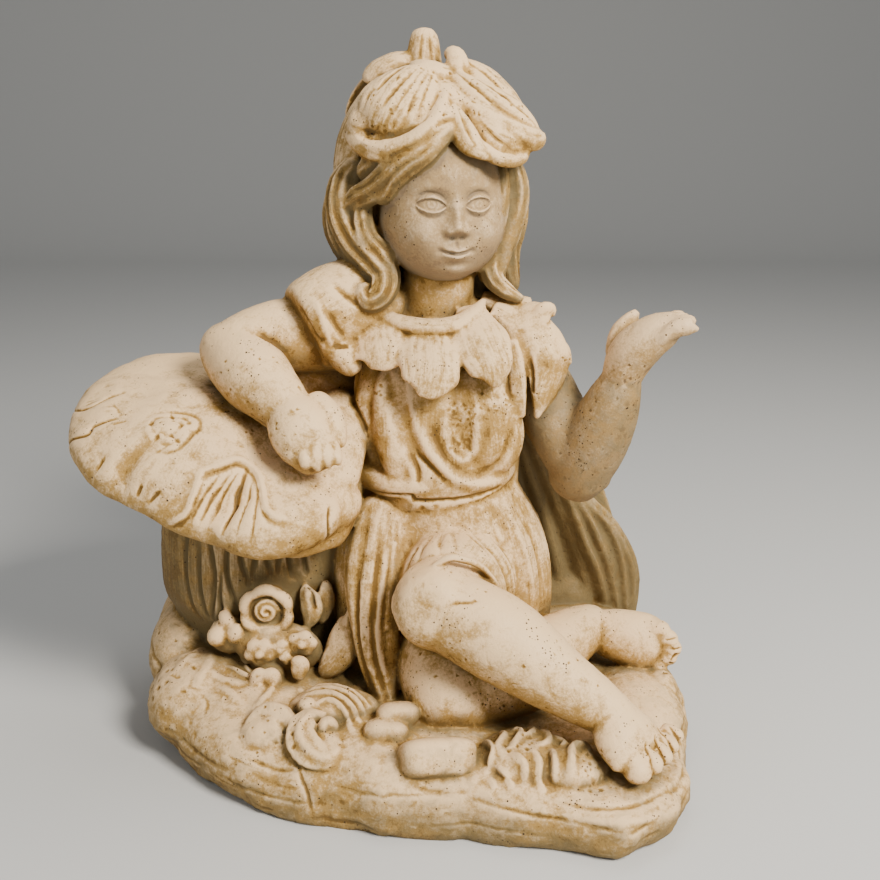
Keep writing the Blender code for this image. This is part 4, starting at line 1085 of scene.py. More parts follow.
SKIRT_STROKES = [
    ([(36, -38, 196), (37, -48, 183), (40, -62, 174)], 2.4, 1.8),
    ([(50, -38, 196), (51, -48, 184), (53, -60, 176)], 2.4, 1.6),
    ([(-15, -22, 190), (-15, -34, 150), (-21, -44, 116), (-19, -48, 92), (-14, -56, 68),
      (-8, -66, 48)], 3.0, 2.2),
    ([(-5, -28, 188), (-9, -42, 148), (-12, -50, 115), (-11, -54, 90), (-4, -62, 64),
      (3, -72, 45)], 2.8, 2.4),
    ([(4, -33, 188), (2, -50, 146), (-3, -58, 113), (-2, -60, 96), (3, -64, 74)], 2.8, 2.4),
    ([(13, -56, 138), (9, -60, 123), (5, -64, 102), (7, -66, 84)], 2.4, 2.2),
    ([(-22, -16, 186), (-25, -28, 140), (-26, -36, 104), (-19, -50, 66)], 2.6, 1.6),
    ([(-10, -26, 170), (-16, -44, 124), (-16, -50, 96), (-9, -58, 70)], 2.0, -1.6),
    ([(0, -40, 160), (-7, -54, 116), (-7, -58, 92), (-1, -64, 68)], 2.0, -1.6),
    ([(13, -34, 192), (14, -46, 166), (13, -56, 149)], 2.2, 2.0),
    ([(24, -36, 194), (24, -48, 172), (26, -60, 160)], 2.2, 1.8),
    ([(68, -32, 194), (76, -44, 171), (86, -50, 145), (91, -50, 122)], 3.0, 1.8),
    ([(84, -26, 198), (98, -34, 170), (107, -38, 137), (110, -36, 108)], 3.2, 1.8),
    ([(62, -34, 192), (68, -44, 176), (76, -52, 159)], 2.2, 1.4),
    ([(76, -30, 196), (92, -40, 164), (100, -44, 134), (102, -44, 112)], 2.2, -1.4),
    ([(100, -8, 190), (114, -8, 160), (124, -12, 130), (124, -16, 106)], 3.0, 1.6),
    ([(94, -18, 196), (108, -22, 160), (118, -26, 126), (119, -28, 104)], 2.4, -1.2),
    ([(88, -62, 126), (98, -60, 124), (110, -52, 116), (122, -40, 104)], 2.0, 2.6),
]
SKIN_STROKES = [
    ([(178, -146, 66), (183, -155, 60), (185, -161, 52)], 1.0, 1.6),
    ([(187, -138, 66), (192, -148, 60), (195, -155, 52)], 1.1, 2.0),
    ([(194, -130, 68), (200, -139, 61), (202, -146, 54)], 1.1, 2.0),
    ([(200, -122, 68), (206, -130, 62), (209, -136, 56)], 1.1, 1.8),
    ([(218, -30, 84), (226, -26, 84), (232, -20, 83)], 1.0, 1.8),
    ([(222, -32, 77), (230, -28, 76), (236, -22, 76)], 1.0, 1.8),
    ([(220, -34, 69), (228, -30, 68), (234, -24, 68)], 1.0, 1.8),
    ([(216, -34, 62), (223, -30, 61), (228, -24, 60)], 1.0, 1.8),
    ([(46, -104, 150), (56, -102, 148), (66, -96, 138)], 1.6, 2.2),
    ([(34, -106, 98), (56, -104, 96), (80, -106, 84), (106, -112, 70)], 4, 4),
    ([(-96, -2, 322), (-90, -12, 308), (-80, -22, 292)], 3.2, 3),
    ([(-89, -34, 268), (-80, -48, 258)], 2.4, 2.6),
]
HAT_STROKES = [
    ([(-20, 0, 475), (-8, -14, 469), (8, -22, 470), (24, -24, 477), (34, -20, 488)], 1.8, 2.2),
    ([(28, 16, 514), (12, -8, 500), (-4, -14, 482)], 1.5, 1.3),
    ([(30, 14, 514), (18, -12, 500), (6, -22, 482)], 1.5, 1.3),
    ([(33, 12, 513), (25, -12, 500), (18, -24, 482)], 1.5, 1.3),
    ([(36, 12, 512), (32, -10, 500), (28, -22, 486)], 1.5, 1.3),
    ([(22, 22, 514), (4, 2, 502), (-14, -4, 484)], 1.5, 1.3),
    ([(50, 20, 513), (64, 4, 502), (84, -6, 486), (104, -2, 476)], 1.6, 1.6),
    ([(54, 26, 516), (70, 12, 506), (90, 2, 490), (108, 4, 474)], 1.6, 1.5),
    ([(60, 34, 518), (78, 22, 507), (96, 14, 490), (110, 14, 476)], 1.6, 1.5),
    ([(66, -14, 482), (78, -24, 468), (90, -22, 460)], 1.4, 1.2),
    ([(51, -8, 488), (58, -24, 472), (67, -32, 458)], 1.4, 1.2),
    ([(28, 42, 542), (25, 38, 530), (24, 36, 520)], 1.2, 1.0),
    ([(34, 42, 542), (35, 38, 530), (36, 36, 520)], 1.2, 1.0),
]
CAP_CRACKS = [
    ([(-240, 0, 262), (-231, -15, 269), (-220, -19, 272), (-212, -16, 276),
      (-198, -10, 282)], 1.3, 2.6),
    ([(-234, -30, 246), (-218, -44, 257), (-213, -40, 263), (-196, -38, 269)], 1.3, 2.6),
    ([(-200, -60, 244), (-206, -64, 236)], 1.3, 2.0),
    ([(-171, -79, 231), (-175, -80, 223)], 1.3, 2.6),
    ([(-157, -83, 228), (-162, -84, 224), (-166, -83, 219)], 1.3, 2.6),
    ([(-98, -66, 238), (-103, -78, 225), (-108, -88, 212), (-113, -94, 200)], 1.6, 4.5),
    ([(-40, -70, 212), (-41, -74, 200), (-45, -66, 184)], 1.2, 2.4),
    ([(-108, -70, 238), (-121, -84, 222), (-130, -90, 204)], 1.2, 1.8),
    ([(-103, -68, 239), (-113, -80, 224), (-124, -91, 202)], 1.0, 1.4),
    ([(-94, -71, 232), (-97, -85, 219), (-102, -96, 200)], 1.1, 1.6),
    ([(-90, -74, 226), (-90, -88, 210), (-92, -96, 196)], 1.1, 1.4),
    ([(-116, -74, 238), (-128, -86, 222), (-136, -92, 206)], 1.1, 1.4),
]
CAP_CREASE = [(-160, -60, 258), (-174, -65, 251), (-184, -70, 244), (-188, -74, 236),
              (-189, -76, 228)]
CAP_VINES = [
    [(-70, -90, 210), (-77, -90, 212), (-83, -87, 217), (-86, -78, 226), (-90, -68, 234),
     (-98, -62, 241), (-107, -62, 244), (-118, -68, 242), (-129, -74, 239)],
    [(-129, -74, 239), (-131, -80, 232), (-134, -86, 224), (-139, -90, 213),
     (-150, -88, 206)],
]


def carve_cap(skin):
    """Rim cracks, the striated crease, the vine and the grained hollow under it."""
    for stroke in CAP_CRACKS:
        skin.stroke(*stroke)
    skin.stroke(CAP_CREASE, 7, 5)
    for shift in range(4):
        points = [(x + 2 * shift - 2, y - shift, z - 2.6 * shift + 4) for x, y, z in CAP_CREASE]
        skin.stroke(points, 1.1, 1.8)
    skin.stroke([(-106, -74, 234), (-112, -84, 220), (-120, -92, 204)], 12, 6, taper=0.8)
    for vine in CAP_VINES:
        skin.stroke(vine, 2.8, -3.4, taper=0.3)
        skin.stroke([(x - 1, y, z - 5.5) for x, y, z in vine], 2.2, 1.8, taper=0.4)
    rose = np.array((-155, -51, 264))
    for reach, depth in ((20, 1.6), (13, 1.6), (7, 1.4)):
        ring = []
        for t in np.linspace(0.5 * reach, 0.5 * reach + 5.4, 13):
            r = reach * (1 + 0.14 * math.sin(3 * t))
            ring.append(rose + (r * math.cos(t), 0.75 * r * math.sin(t), 0.5 * r * math.sin(t)))
        skin.stroke(ring, 1.8, depth, taper=0.5)
    skin.stroke([rose - (18, 2, 0), rose, rose + (17, 2, 0)], 9, -2.5)
    for k in range(5):
        turn = 1.2 * k
        petal = [rose + (6 * math.cos(turn), 5 * math.sin(turn), 2 * math.sin(turn)),
                 rose + (17 * math.cos(turn + 0.5), 13 * math.sin(turn + 0.5),
                         8 * math.sin(turn + 0.5))]
        skin.stroke(petal, 1.3, 1.6)
    rng = np.random.RandomState(5)
    for k in range(46):
        x, y = rng.uniform(-225, -70), rng.uniform(-60, 40)
        turn = rng.uniform(-0.9, 0.4)
        reach = rng.uniform(4, 13)
        mark = [(x, y, 262), (x + reach * math.cos(turn), y + reach * math.sin(turn), 262)]
        skin.stroke(mark, rng.uniform(0.9, 1.8), rng.uniform(-1.6, 1.6))


def carve_stem(skin):
    """Upright splits in the wood of the stem."""
    for x, low, high, sway in ((-166, 74, 186, 3), (-140, 84, 186, -2), (-122, 96, 186, 2),
                               (-84, 136, 186, -1), (-62, 106, 186, 2), (-150, 92, 160, 1),
                               (-131, 90, 140, 1), (-104, 136, 186, -1), (-73, 120, 186, 1),
                               (-94, 136, 180, 1), (-113, 130, 176, 1)):
        skin.stroke([(x + sway, -20, high), (x - 2 * sway, -22, (low + high) / 2),
                     (x + 3 * sway, -22, low)], 2.0, 4.2, taper=0.5)


ROCK_LEDGES = [
    ([(120, -172, 38), (147, -179, 37), (176, -172, 37), (213, -142, 30)], 1.8, 2.6),
    ([(104, -176, 32), (140, -186, 31), (184, -180, 30), (216, -150, 24)], 2.6, -2.2),
    ([(60, -160, 33), (94, -173, 30), (133, -183, 29), (173, -189, 24)], 1.6, 2.4),
    ([(-61, -132, 40), (-54, -147, 29), (-49, -148, 14)], 1.3, 2.8),
    ([(-98, -122, 38), (-78, -131, 36), (-59, -136, 37)], 1.8, 2.4),
    ([(-120, -120, 22), (-80, -136, 18), (-40, -148, 20)], 1.4, 1.4),
    ([(-170, -70, 34), (-140, -100, 28), (-112, -122, 28)], 2.0, 1.8),
    ([(-188, -20, 30), (-170, -70, 20), (-140, -108, 16)], 1.6, 1.6),
    ([(-198, 20, 60), (-192, -10, 56), (-178, -40, 50)], 2.4, 2.2),
    ([(-40, -146, 34), (0, -152, 30), (40, -160, 34)], 1.4, 1.4),
    ([(14, -150, 36), (38, -158, 35), (62, -160, 37)], 2.2, 2.6),
    ([(20, -160, 14), (70, -168, 18), (120, -186, 14)], 1.2, 1.2),
    ([(204, -166, 40), (222, -120, 40), (230, -70, 36)], 2.2, 2.4),
    ([(212, -140, 40), (222, -112, 44), (222, -84, 46)], 3.0, -3.0),
]


def carve_rock(skin):
    """Ledges, splits, weathered hollows and the raised ground cover of the rock."""
    for points, width, depth in ROCK_LEDGES:
        skin.stroke(points, width, 0.7 * depth)
    for points, width, height in COVER_RIDGES:
        skin.stroke(points, 0.8 * width, -0.9 * height)
    rng = np.random.RandomState(8)
    for k in range(90):
        turn = rng.uniform(0, 2 * math.pi)
        reach = float(outline_at(turn, BASE_CORNERS))
        high = rng.uniform(4, 46)
        span = rng.uniform(0.04, 0.14)
        line = [(reach * math.cos(turn + d), reach * math.sin(turn + d),
                 high + rng.uniform(-3, 3)) for d in (-span, 0, span)]
        skin.stroke(line, rng.uniform(0.8, 1.8), rng.uniform(-0.6, 1.1))
    for k in range(80):
        x, y = rng.uniform(-180, -90), rng.uniform(-90, 20)
        turn, reach = rng.uniform(0, 6.3), rng.uniform(4, 12)
        line = [(x, y, 70), (x + reach * math.cos(turn), y + reach * math.sin(turn), 70)]
        skin.stroke(line, rng.uniform(1.2, 2.6), rng.uniform(-1.2, 1.4))
    skin.pepper((-200, -60, 40), (-170, 10, 80), 14, 2.2, 1.6, 31)
    skin.pepper((-120, -130, 40), (-60, -80, 70), 16, 1.4, 1.2, 32)
    skin.pepper((134, -165, 40), (156, -130, 66), 40, 1.3, 0.9, 33)
    skin.pepper((84, -140, 44), (106, -112, 70), 34, 1.3, 0.9, 34)


def carve_dress(skin):
    """Folds of the blouse and skirt, the line of the belt, and worn patches."""
    for stroke in SLEEVE_STROKES + BLOUSE_STROKES + SKIRT_STROKES:
        skin.stroke(*stroke)
    skin.stroke(BELT_LINE, 1.8, 3.0, taper=0.2)
    skin.pepper((46, -40, 238), (68, 0, 276), 150, 1.1, 0.4, 11)
    skin.pepper((68, -30, 268), (90, 0, 290), 60, 1.1, 0.4, 12)
    skin.pepper((-12, -20, 276), (2, 10, 288), 6, 1.6, 1.0, 13)


def carve_flesh(skin):
    """Creases at the knee, elbow and wrists, and the largest air bubbles."""
    for stroke in SKIN_STROKES:
        skin.stroke(*stroke)
    skin.pepper((-120, -80, 250), (-60, 10, 320), 60, 0.9, 0.7, 21)
    skin.pepper((130, -70, 200), (200, 20, 310), 120, 0.9, 0.8, 22)
    skin.pepper((10, -140, 60), (190, -60, 170), 90, 0.9, 0.7, 23)
    for stroke in HAT_STROKES:
        skin.stroke(*stroke)
    skin.pepper((-14, -30, 460), (8, -8, 478), 40, 0.9, 0.5, 24)
    skin.pepper((-40, -40, 480), (110, 20, 545), 110, 0.8, 0.7, 25)


def roughen(skin):
    """The worn skin of the casting: fine unevenness, most on the rock, none on the face."""
    face = (skin.places - HEAD_CENTRE) @ turned(HEAD_TURN)
    calm = (smooth_step(34 - np.abs(face[:, 0]), 0, 8) * smooth_step(-face[:, 1], 14, 26)
            * smooth_step(face[:, 2], -60, -50) * smooth_step(-face[:, 2], -24, -12))
    stone = smooth_step(-skin.places[:, 2], -64, -46)
    uneven = (lattice_noise(skin.places, 5.5, 7) + 0.6 * lattice_noise(skin.places, 2.6, 9))
    push = uneven * (0.2 + 0.24 * stone) * (1 - calm)
    push += 1.0 * stone * np.minimum(lattice_noise(skin.places * (1, 1, 1.8), 19, 10), 0.2)
    skin.places += skin.normals * push[:, None]


def carve(skin):
    """Cut the folds, creases, cracks and pits, then roughen the stone."""
    roughen(skin)
    carve_rock(skin)
    carve_cap(skin)
    carve_stem(skin)
    carve_dress(skin)
    carve_flesh(skin)


# ---------------------------------------------------------------- surface attributes
def form_lookup(clays):
    """The clay forms as one triangle mesh, with its search tree and its attributes."""
    bm = with_layers(bmesh.new())
    for clay in clays:
        bm.from_mesh(clay.data)
    bmesh.ops.triangulate(bm, faces=bm.faces[:])
    tree = BVHTree.FromBMesh(bm)
    mesh = mesh_from(bm, "forms")
    found = {"tree": tree, "corners": rows_of(mesh.polygons, "vertices", 3, int),
             "places": rows_of(mesh.vertices, "co", 3)}
    for name in LAYERS:
        found[name] = rows_of(mesh.attributes[name].data, "vector", 3)
    bpy.data.meshes.remove(mesh)
    return found


def read_forms(places, forms):
    """Grain and finish of the nearest clay form at each place."""
    hits = [forms["tree"].find_nearest(Vector(p))[:3:2] for p in places]
    spots = np.array([hit[0] for hit in hits])
    corner = forms["corners"][[hit[1] for hit in hits]]
    a, b, c = (forms["places"][corner[:, k]] for k in range(3))
    ab, ac, ap = b - a, c - a, spots - a
    d00, d01, d11 = (np.sum(p * q, axis=1) for p, q in ((ab, ab), (ab, ac), (ac, ac)))
    d20, d21 = np.sum(ap * ab, axis=1), np.sum(ap * ac, axis=1)
    den = np.maximum(d00 * d11 - d01 * d01, 1e-20)
    v = np.clip((d11 * d20 - d01 * d21) / den, 0, 1)
    w = np.clip((d00 * d21 - d01 * d20) / den, 0, 1)
    u = np.clip(1 - v - w, 0, 1)
    shares = np.stack([u, v, w], axis=1)
    shares = shares / shares.sum(axis=1, keepdims=True)
    return [np.einsum("nk,nkc->nc", shares, forms[name][corner]) for name in LAYERS]


def openness(mesh, rays, reach):
    """How open each vertex lies to the air, from 0 in a crevice to 1 in the open."""
    bm = bmesh.new()
    bm.from_mesh(mesh)
    tree = BVHTree.FromBMesh(bm)
    bm.free()
    places = rows_of(mesh.vertices, "co", 3)
    normals = rows_of(mesh.vertex_normals, "vector", 3)
    golden = math.pi * (3 - math.sqrt(5))
    open_share = np.zeros(len(places))
    helper = np.where(np.abs(normals[:, 2:3]) < 0.9, [[0, 0, 1]], [[1, 0, 0]])
    side = unit(np.cross(normals, helper))
    other = np.cross(normals, side)
    for k in range(rays):
        lift = math.sqrt((k + 0.5) / rays)
        out = math.sqrt(1 - lift * lift)
        turn = k * golden
        aim = (normals * lift + side * out * math.cos(turn) + other * out * math.sin(turn))
        start = places + normals * 0.6 * MM
        for n, (spot, way) in enumerate(zip(start, aim)):
            away = tree.ray_cast(Vector(spot), Vector(way), reach)[3]
            open_share[n] += 1.0 if away is None else (away / reach) ** 0.7
    return open_share / rays


def store_attribute(mesh, name, values):
    """Keep one number, or a vector, a vertex on the mesh."""
    kind, field = ("FLOAT", "value") if values.ndim == 1 else ("FLOAT_VECTOR", "vector")
    layer = mesh.attributes.new(name, kind, "POINT")
    layer.data.foreach_set(field, np.ascontiguousarray(values, dtype=float).ravel())


# ---------------------------------------------------------------- casting
# Attribute, smoothing passes that it is read against, and its half range in mm.
HEIGHT_READINGS = (("relief", 6, 0.5), ("hollow", 60, 3.0))
FACE_REACH = 2.2
THIN_WEIGHT = 20.0
SHADE_RAYS, QUICK_RAYS, SHADE_REACH = 14, 4, 70
CREASE_ANGLE = 62


def refine_face(casting, forms):
    """Double the face's mesh and press it on to the modelled head, so the eyes stay crisp."""
    mesh = casting.data
    turn = turned(HEAD_TURN)

    def inside(places):
        local = (places / MM - HEAD_CENTRE) @ turn
        share = smooth_step(32 - np.abs(local[:, 0]), 0, 5) * smooth_step(-local[:, 1], 22, 30)
        return share * smooth_step(local[:, 2], -54, -50) * smooth_step(-local[:, 2], -22, -17)

    bm = bmesh.new()
    bm.from_mesh(mesh)
    share = inside(rows_of(mesh.vertices, "co", 3))
    edges = [e for e in bm.edges if share[e.verts[0].index] > 0 and share[e.verts[1].index] > 0]
    bmesh.ops.subdivide_edges(bm, edges=edges, cuts=1, use_grid_fill=True)
    bm.to_mesh(mesh)
    bm.free()
    places = rows_of(mesh.vertices, "co", 3)
    share = inside(places)
    held = casting.vertex_groups.new(name="thin")
    held.add(np.flatnonzero(share <= 0).tolist(), 1.0, "REPLACE")
    held.add(np.flatnonzero(share > 0).tolist(), 0.0, "REPLACE")
    for n in np.flatnonzero(share > 0):
        spot = Vector(places[n])
        hit, _, _, away = forms["tree"].find_nearest(spot)
        if away < FACE_REACH * MM:
            places[n] = spot.lerp(hit, share[n])
    mesh.vertices.foreach_set("co", places.ravel())
    mesh.update()


def calm_borders(mesh, grain, finish):
    """No tool marks where two clays meet, as their grains do not join up."""
    pairs = rows_of(mesh.edges, "vertices", 2, int)
    for _ in range(2):
        apart = np.abs(grain[pairs[:, 0], 2] - grain[pairs[:, 1], 2]) > 0.5
        at_border = np.zeros(len(grain), dtype=bool)
        at_border[pairs[apart].ravel()] = True
        near = at_border[pairs].any(axis=1)
        at_border[pairs[near].ravel()] = True
    finish[at_border, 0] = 0.0


def cut_flat(mesh):
    """Cut the casting on the plane that it rests on and close the cut."""
    slack, flat = 0.0002, 0.00025
    bm = bmesh.new()
    bm.from_mesh(mesh)
    geom = bm.verts[:] + bm.edges[:] + bm.faces[:]
    bmesh.ops.bisect_plane(bm, geom=geom, dist=slack, plane_co=(0, 0, 0), plane_no=UP,
                           clear_inner=True)
    for vert in bm.verts:
        if abs(vert.co.z) < flat:
            vert.co.z = 0.0
    rim = [e for e in bm.edges if e.is_boundary]
    bmesh.ops.holes_fill(bm, edges=rim, sides=0)
    bmesh.ops.triangulate(bm, faces=bm.faces[:])
    loose = [v for v in bm.verts if not v.link_faces]
    bmesh.ops.delete(bm, geom=loose, context="VERTS")
    bmesh.ops.recalc_face_normals(bm, faces=bm.faces[:])
    bm.to_mesh(mesh)
    bm.free()


def cast_statue():
    """Fuse the clays, carve them, thin the skin and keep what the finish needs."""
    sizes = bpy.context.scene.statue_sizes
    cell = sizes.cell / MM * 1.0
    clays = [obj for obj in bpy.data.objects if obj.name.startswith("clay_")]
    forms = form_lookup(clays)
    bm = bmesh.new()
    for clay in clays:
        passes = clay["ease"]
        bm.from_mesh(fused(clay, clay["cell"], passes) if passes else clay.data)
        bpy.data.objects.remove(clay)
    gathered = put_in_scene("gathered", mesh_from(bm, "gathered"))
    casting = put_in_scene("statue_casting", fused(gathered, cell, 2))
    bpy.data.objects.remove(gathered)
    casting.data.name = "statue_casting"

    refine_face(casting, forms)
    tree = BVHTree.FromObject(casting, bpy.context.evaluated_depsgraph_get())
    skin = Skin(casting.data, tree)
    carve(skin)
    skin.store()

    normals = rows_of(casting.data.vertex_normals, "vector", 3)
    places = rows_of(casting.data.vertices, "co", 3)
    for name, passes, span in HEIGHT_READINGS:
        calm = eased(casting, passes)
        lift = np.sum((places - rows_of(calm.vertices, "co", 3)) * normals, axis=1) / MM
        store_attribute(casting.data, name, np.clip(0.5 + 0.5 * lift / span, 0, 1))
        bpy.data.meshes.remove(calm)

    triangles = len(casting.data.polygons) * 2
    thin = casting.modifiers.new("thin", "DECIMATE")
    thin.vertex_group = "thin"
    thin.vertex_group_factor = THIN_WEIGHT
    thin.ratio = min(1.0, sizes.triangles / triangles)
    mesh = worked_out(casting)
    casting.vertex_groups.clear()
    casting.data = mesh
    cut_flat(mesh)
    places = rows_of(mesh.vertices, "co", 3)
    grain, finish = read_forms(places, forms)
    calm_borders(mesh, grain, finish)
    store_attribute(mesh, "grain", grain)
    store_attribute(mesh, "finish", finish)
    normals = rows_of(mesh.vertex_normals, "vector", 3)
    # How much each vertex faces up; the finish makes upward faces lighter with it, partly as
    # painted top light.
    store_attribute(mesh, "upward", 0.5 + 0.5 * normals[:, 2])
    rays = SHADE_RAYS
    store_attribute(mesh, "shade", openness(mesh, rays, SHADE_REACH * MM))
    mesh.shade_smooth()
    mesh.set_sharp_from_angle(angle=math.radians(CREASE_ANGLE))
    return casting


# ---------------------------------------------------------------- finish
def feed(tree, socket, value):
    """Link a socket to an output, or set it to a plain number or a colour."""
    if isinstance(value, bpy.types.NodeSocket):
        tree.links.new(value, socket)
    elif isinstance(value, (int, float)):
        socket.default_value = value
    else:
        socket.default_value = (*value, 1.0)


def new_node(tree, kind, label):
    """A shader node with its label."""
    made = tree.nodes.new(kind)
    made.label = label
    return made


def math_node(tree, label, operation, *values):
    """A Math node fed by sockets or plain numbers."""
    made = new_node(tree, "ShaderNodeMath", label)
    made.operation = operation
    for socket, value in zip(made.inputs, values):
        feed(tree, socket, value)
    return made.outputs[0]


def ramp(tree, label, value, low, high, to_low=0.0, to_high=1.0):
    """A value eased from one range to another."""
    made = new_node(tree, "ShaderNodeMapRange", label)
    made.interpolation_type = "SMOOTHSTEP"
    for name, number in (("Value", value), ("From Min", low), ("From Max", high),
                         ("To Min", to_low), ("To Max", to_high)):
        feed(tree, made.inputs[name], number)
    return made.outputs["Result"]


def weighed(tree, label, start, parts):
    """start plus the sum of (socket - middle) * weight over the parts."""
    total = start - sum(middle * weight for _, middle, weight in parts)
    for socket, _, weight in parts:
        total = math_node(tree, label, "MULTIPLY_ADD", socket, weight, total)
    return total


def mix_colour(tree, label, share, first, second):
    """Two colours, given as sockets or plain colours, mixed by a share."""
    made = new_node(tree, "ShaderNodeMix", label)
    made.data_type = "RGBA"
    made.clamp_result = True
    sockets = {socket.identifier: socket for socket in made.inputs}
    for name, value in (("Factor_Float", share), ("A_Color", first), ("B_Color", second)):
        feed(tree, sockets[name], value)
    return next(s for s in made.outputs if s.identifier == "Result_Color")


def attribute(tree, name, output="Fac"):
    """One of the casting's own attributes."""
    made = new_node(tree, "ShaderNodeAttribute", name)
    made.attribute_name = name
    return made.outputs[output]


def parts_of(tree, label, vector):
    """The three numbers of a vector."""
    made = new_node(tree, "ShaderNodeSeparateXYZ", label)
    tree.links.new(vector, made.inputs[0])
    return made.outputs


def noise(tree, label, vector, scale, detail=3.0, rough=0.55, warp=0.0):
    """A noise value read at a vector."""
    made = new_node(tree, "ShaderNodeTexNoise", label)
    for name, value in (("Vector", vector), ("Scale", scale), ("Detail", detail),
                        ("Roughness", rough), ("Distortion", warp)):
        feed(tree, made.inputs[name], value)
    return made.outputs["Fac"]


def new_group(name, inputs, outputs):
    """An empty shader node group with named sockets, given as (name, kind, default)."""
    group = bpy.data.node_groups.new(name, "ShaderNodeTree")
    for title, kind, default in inputs:
        socket = group.interface.new_socket(title, in_out="INPUT", socket_type=kind)
        if default is not None:
            socket.default_value = default
    for title, kind in outputs:
        group.interface.new_socket(title, in_out="OUTPUT", socket_type=kind)
    return group, group.nodes.new("NodeGroupInput"), group.nodes.new("NodeGroupOutput")


def tool_mark_group():
    """Long scratches that run with the grain of each carved form."""
    group, given, out = new_group(
        "tool_marks",
        [("Grain", "NodeSocketVector", None), ("Fineness", "NodeSocketFloat", 0.42),
         ("Stretch", "NodeSocketFloat", 0.03)],
        [("Marks", "NodeSocketFloat"), ("Broad marks", "NodeSocketFloat")])
    side, length, form = parts_of(group, "grain", given.outputs["Grain"])
    side = math_node(group, "across", "MULTIPLY", side, given.outputs["Fineness"])
    length = math_node(group, "along", "MULTIPLY", length, given.outputs["Stretch"])
    join = new_node(group, "ShaderNodeCombineXYZ", "stretched grain")
    for socket, value in zip(join.inputs, (side, length, form)):
        feed(group, socket, value)
    fine = noise(group, "fine scratches", join.outputs[0], 2.0, 3.0, 0.6, 0.3)
    broad = noise(group, "broad scratches", join.outputs[0], 0.75, 2.0, 0.5, 0.4)
    group.links.new(fine, out.inputs["Marks"])
    group.links.new(broad, out.inputs["Broad marks"])
    return group


def air_bubble_group():
    """Round air bubbles of the casting: scattered in clusters, dark and sunk."""
    group, given, out = new_group(
        "air_bubbles",
        [("Place", "NodeSocketVector", None), ("Pitch", "NodeSocketFloat", 300.0),
         ("Size", "NodeSocketFloat", 0.22), ("Amount", "NodeSocketFloat", 0.5)],
        [("Bubbles", "NodeSocketFloat")])
    cells = new_node(group, "ShaderNodeTexVoronoi", "bubbles")
    feed(group, cells.inputs["Vector"], given.outputs["Place"])
    feed(group, cells.inputs["Scale"], given.outputs["Pitch"])
    cluster = noise(group, "clusters", given.outputs["Place"], 38.0, 2.0, 0.5)
    chance = new_node(group, "ShaderNodeSeparateColor", "chance")
    group.links.new(cells.outputs["Color"], chance.inputs[0])
    cluster = ramp(group, "cluster edge", cluster, 0.47, 0.72)
    near = math_node(group, "cluster chance", "MULTIPLY", cluster, given.outputs["Amount"])
    kept = math_node(group, "kept", "LESS_THAN", chance.outputs[0], near)
    varied = math_node(group, "varied size", "MULTIPLY", chance.outputs[1],
                       given.outputs["Size"])
    gap = math_node(group, "inside", "SUBTRACT", varied, cells.outputs["Distance"])
    deep = ramp(group, "edge", gap, 0.0, 0.07)
    pits = math_node(group, "pits", "MULTIPLY", deep, kept)
    group.links.new(pits, out.inputs["Bubbles"])
    return group


def place_group(tree, group, label, **values):
    """Put a node group in a material with its own values."""
    made = new_node(tree, "ShaderNodeGroup", label)
    made.node_tree = group
    for name, value in values.items():
        feed(tree, made.inputs[name], value)
    return made.outputs


